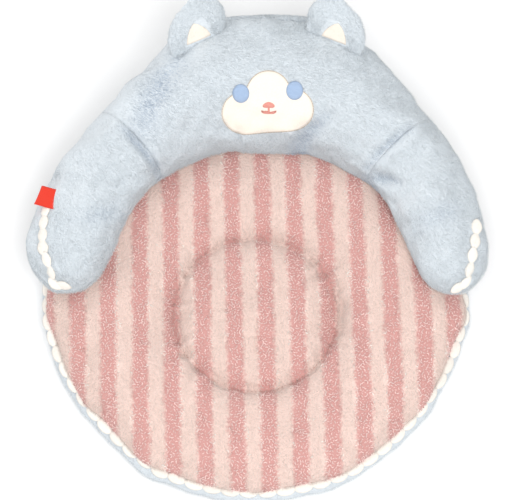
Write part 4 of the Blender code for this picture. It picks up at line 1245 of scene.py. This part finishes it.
# Side tag: a short length of plain red ribbon, folded in two, its ends caught in the left arm's outer seam.
tag_points = places(frame["nodes"]["side_tag"].data)
tag_middle = Vector(tag_points.mean(0))
tag_axes = np.linalg.svd(tag_points - tag_points.mean(0))[2]
tag_joint = next(j for j in frame["joints"] if j["child"] == "side_tag")
tag_along = Vector(tag_joint["axis"]).normalized()
tag_up = Vector(tag_axes[2]) if tag_axes[2][2] > 0 else -Vector(tag_axes[2])
tag_out = tag_along.cross(tag_up).normalized()
tag_out = tag_out if tag_out.dot(tag_middle) > 0 else -tag_out
across = (tag_points - np.array(tag_middle)) @ np.array(tag_along)
outward = (tag_points - np.array(tag_middle)) @ np.array(tag_out)
TAG_ROOT, TAG_LIFT, TAG_FORWARD = 0.0015, 0.0022, 0.0050  # longer at the seam, lifted off the pile, moved
half_wide, half_long = np.ptp(across) / 2, np.ptp(outward) / 2 + TAG_ROOT
tag_middle += tag_up * TAG_LIFT - tag_out * TAG_ROOT + Vector((0, -TAG_FORWARD, 0))
FOLD = 0.0006  # half the gap between the ribbon's two layers at its fold
RIBBON = 0.0004
WAVE = 0.0004  # how far the layers sway
straight = half_long * 0.9
there = [(x, WAVE * math.sin(x / half_long * 2.2)) for x in np.linspace(-straight, straight, 12)]
section = [(-half_long, FOLD * 0.6)] + [(x, FOLD + sway) for x, sway in there]
section += [(half_long + FOLD * math.cos(t), FOLD * math.sin(t)) for t in np.radians((55, 20, -20, -55))]
section += [(x, -FOLD + sway) for x, sway in reversed(there)]
section += [(-half_long, -FOLD * 0.6)]
TAG_STEPS = 10
points, faces = [], []
for i in range(TAG_STEPS + 1):
    w = half_wide * (2 * i / TAG_STEPS - 1)
    for x, z in section:
        curl_up = 0.0002 * (x / half_long + 1) ** 2 * (w / half_wide) ** 2
        points.append(tag_middle + tag_along * w + tag_out * x + tag_up * (z + curl_up + 0.0006))
for i in range(TAG_STEPS):
    for k in range(len(section) - 1):
        a, b = i * len(section) + k, (i + 1) * len(section) + k
        faces.append((a, a + 1, b + 1, b))
mesh = bpy.data.meshes.new("tag")
mesh.from_pydata([tuple(p) for p in points], [], faces)
mesh.shade_smooth()
tag = in_scene("tag", mesh)
upper = [f for f in mesh.polygons if (f.center - tag_middle).dot(tag_up) > 0.0006]
if sum((f.normal * f.area for f in upper), Vector()).dot(tag_up) < 0:
    mesh.flip_normals()
lined(tag, RIBBON)
ribbon, tree, shader = finish("red ribbon", sheen=0.1, roughness=0.6, specular=0.3)
where = add(tree, "ShaderNodeTexCoord").outputs["Object"]
RIBBON_THREAD = 0.0010
warp, weft = [threads(tree, where, way, RIBBON_THREAD) for way in (tag_along, tag_out)]
high = between(tree, maths(tree, "MULTIPLY", warp, weft), -1.0, 1.0)
tree.links.new(blended(tree, high, dye(226, 46, 26), dye(250, 70, 46)), shader.inputs["Base Color"])
bump(tree, shader, high, 0.0003)
tag.data.materials.append(ribbon)
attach(tag, "side_tag")
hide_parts("side_tag")

for helper in (tuft, lock, stitch, scallop, leaf):
    bpy.data.objects.remove(helper)
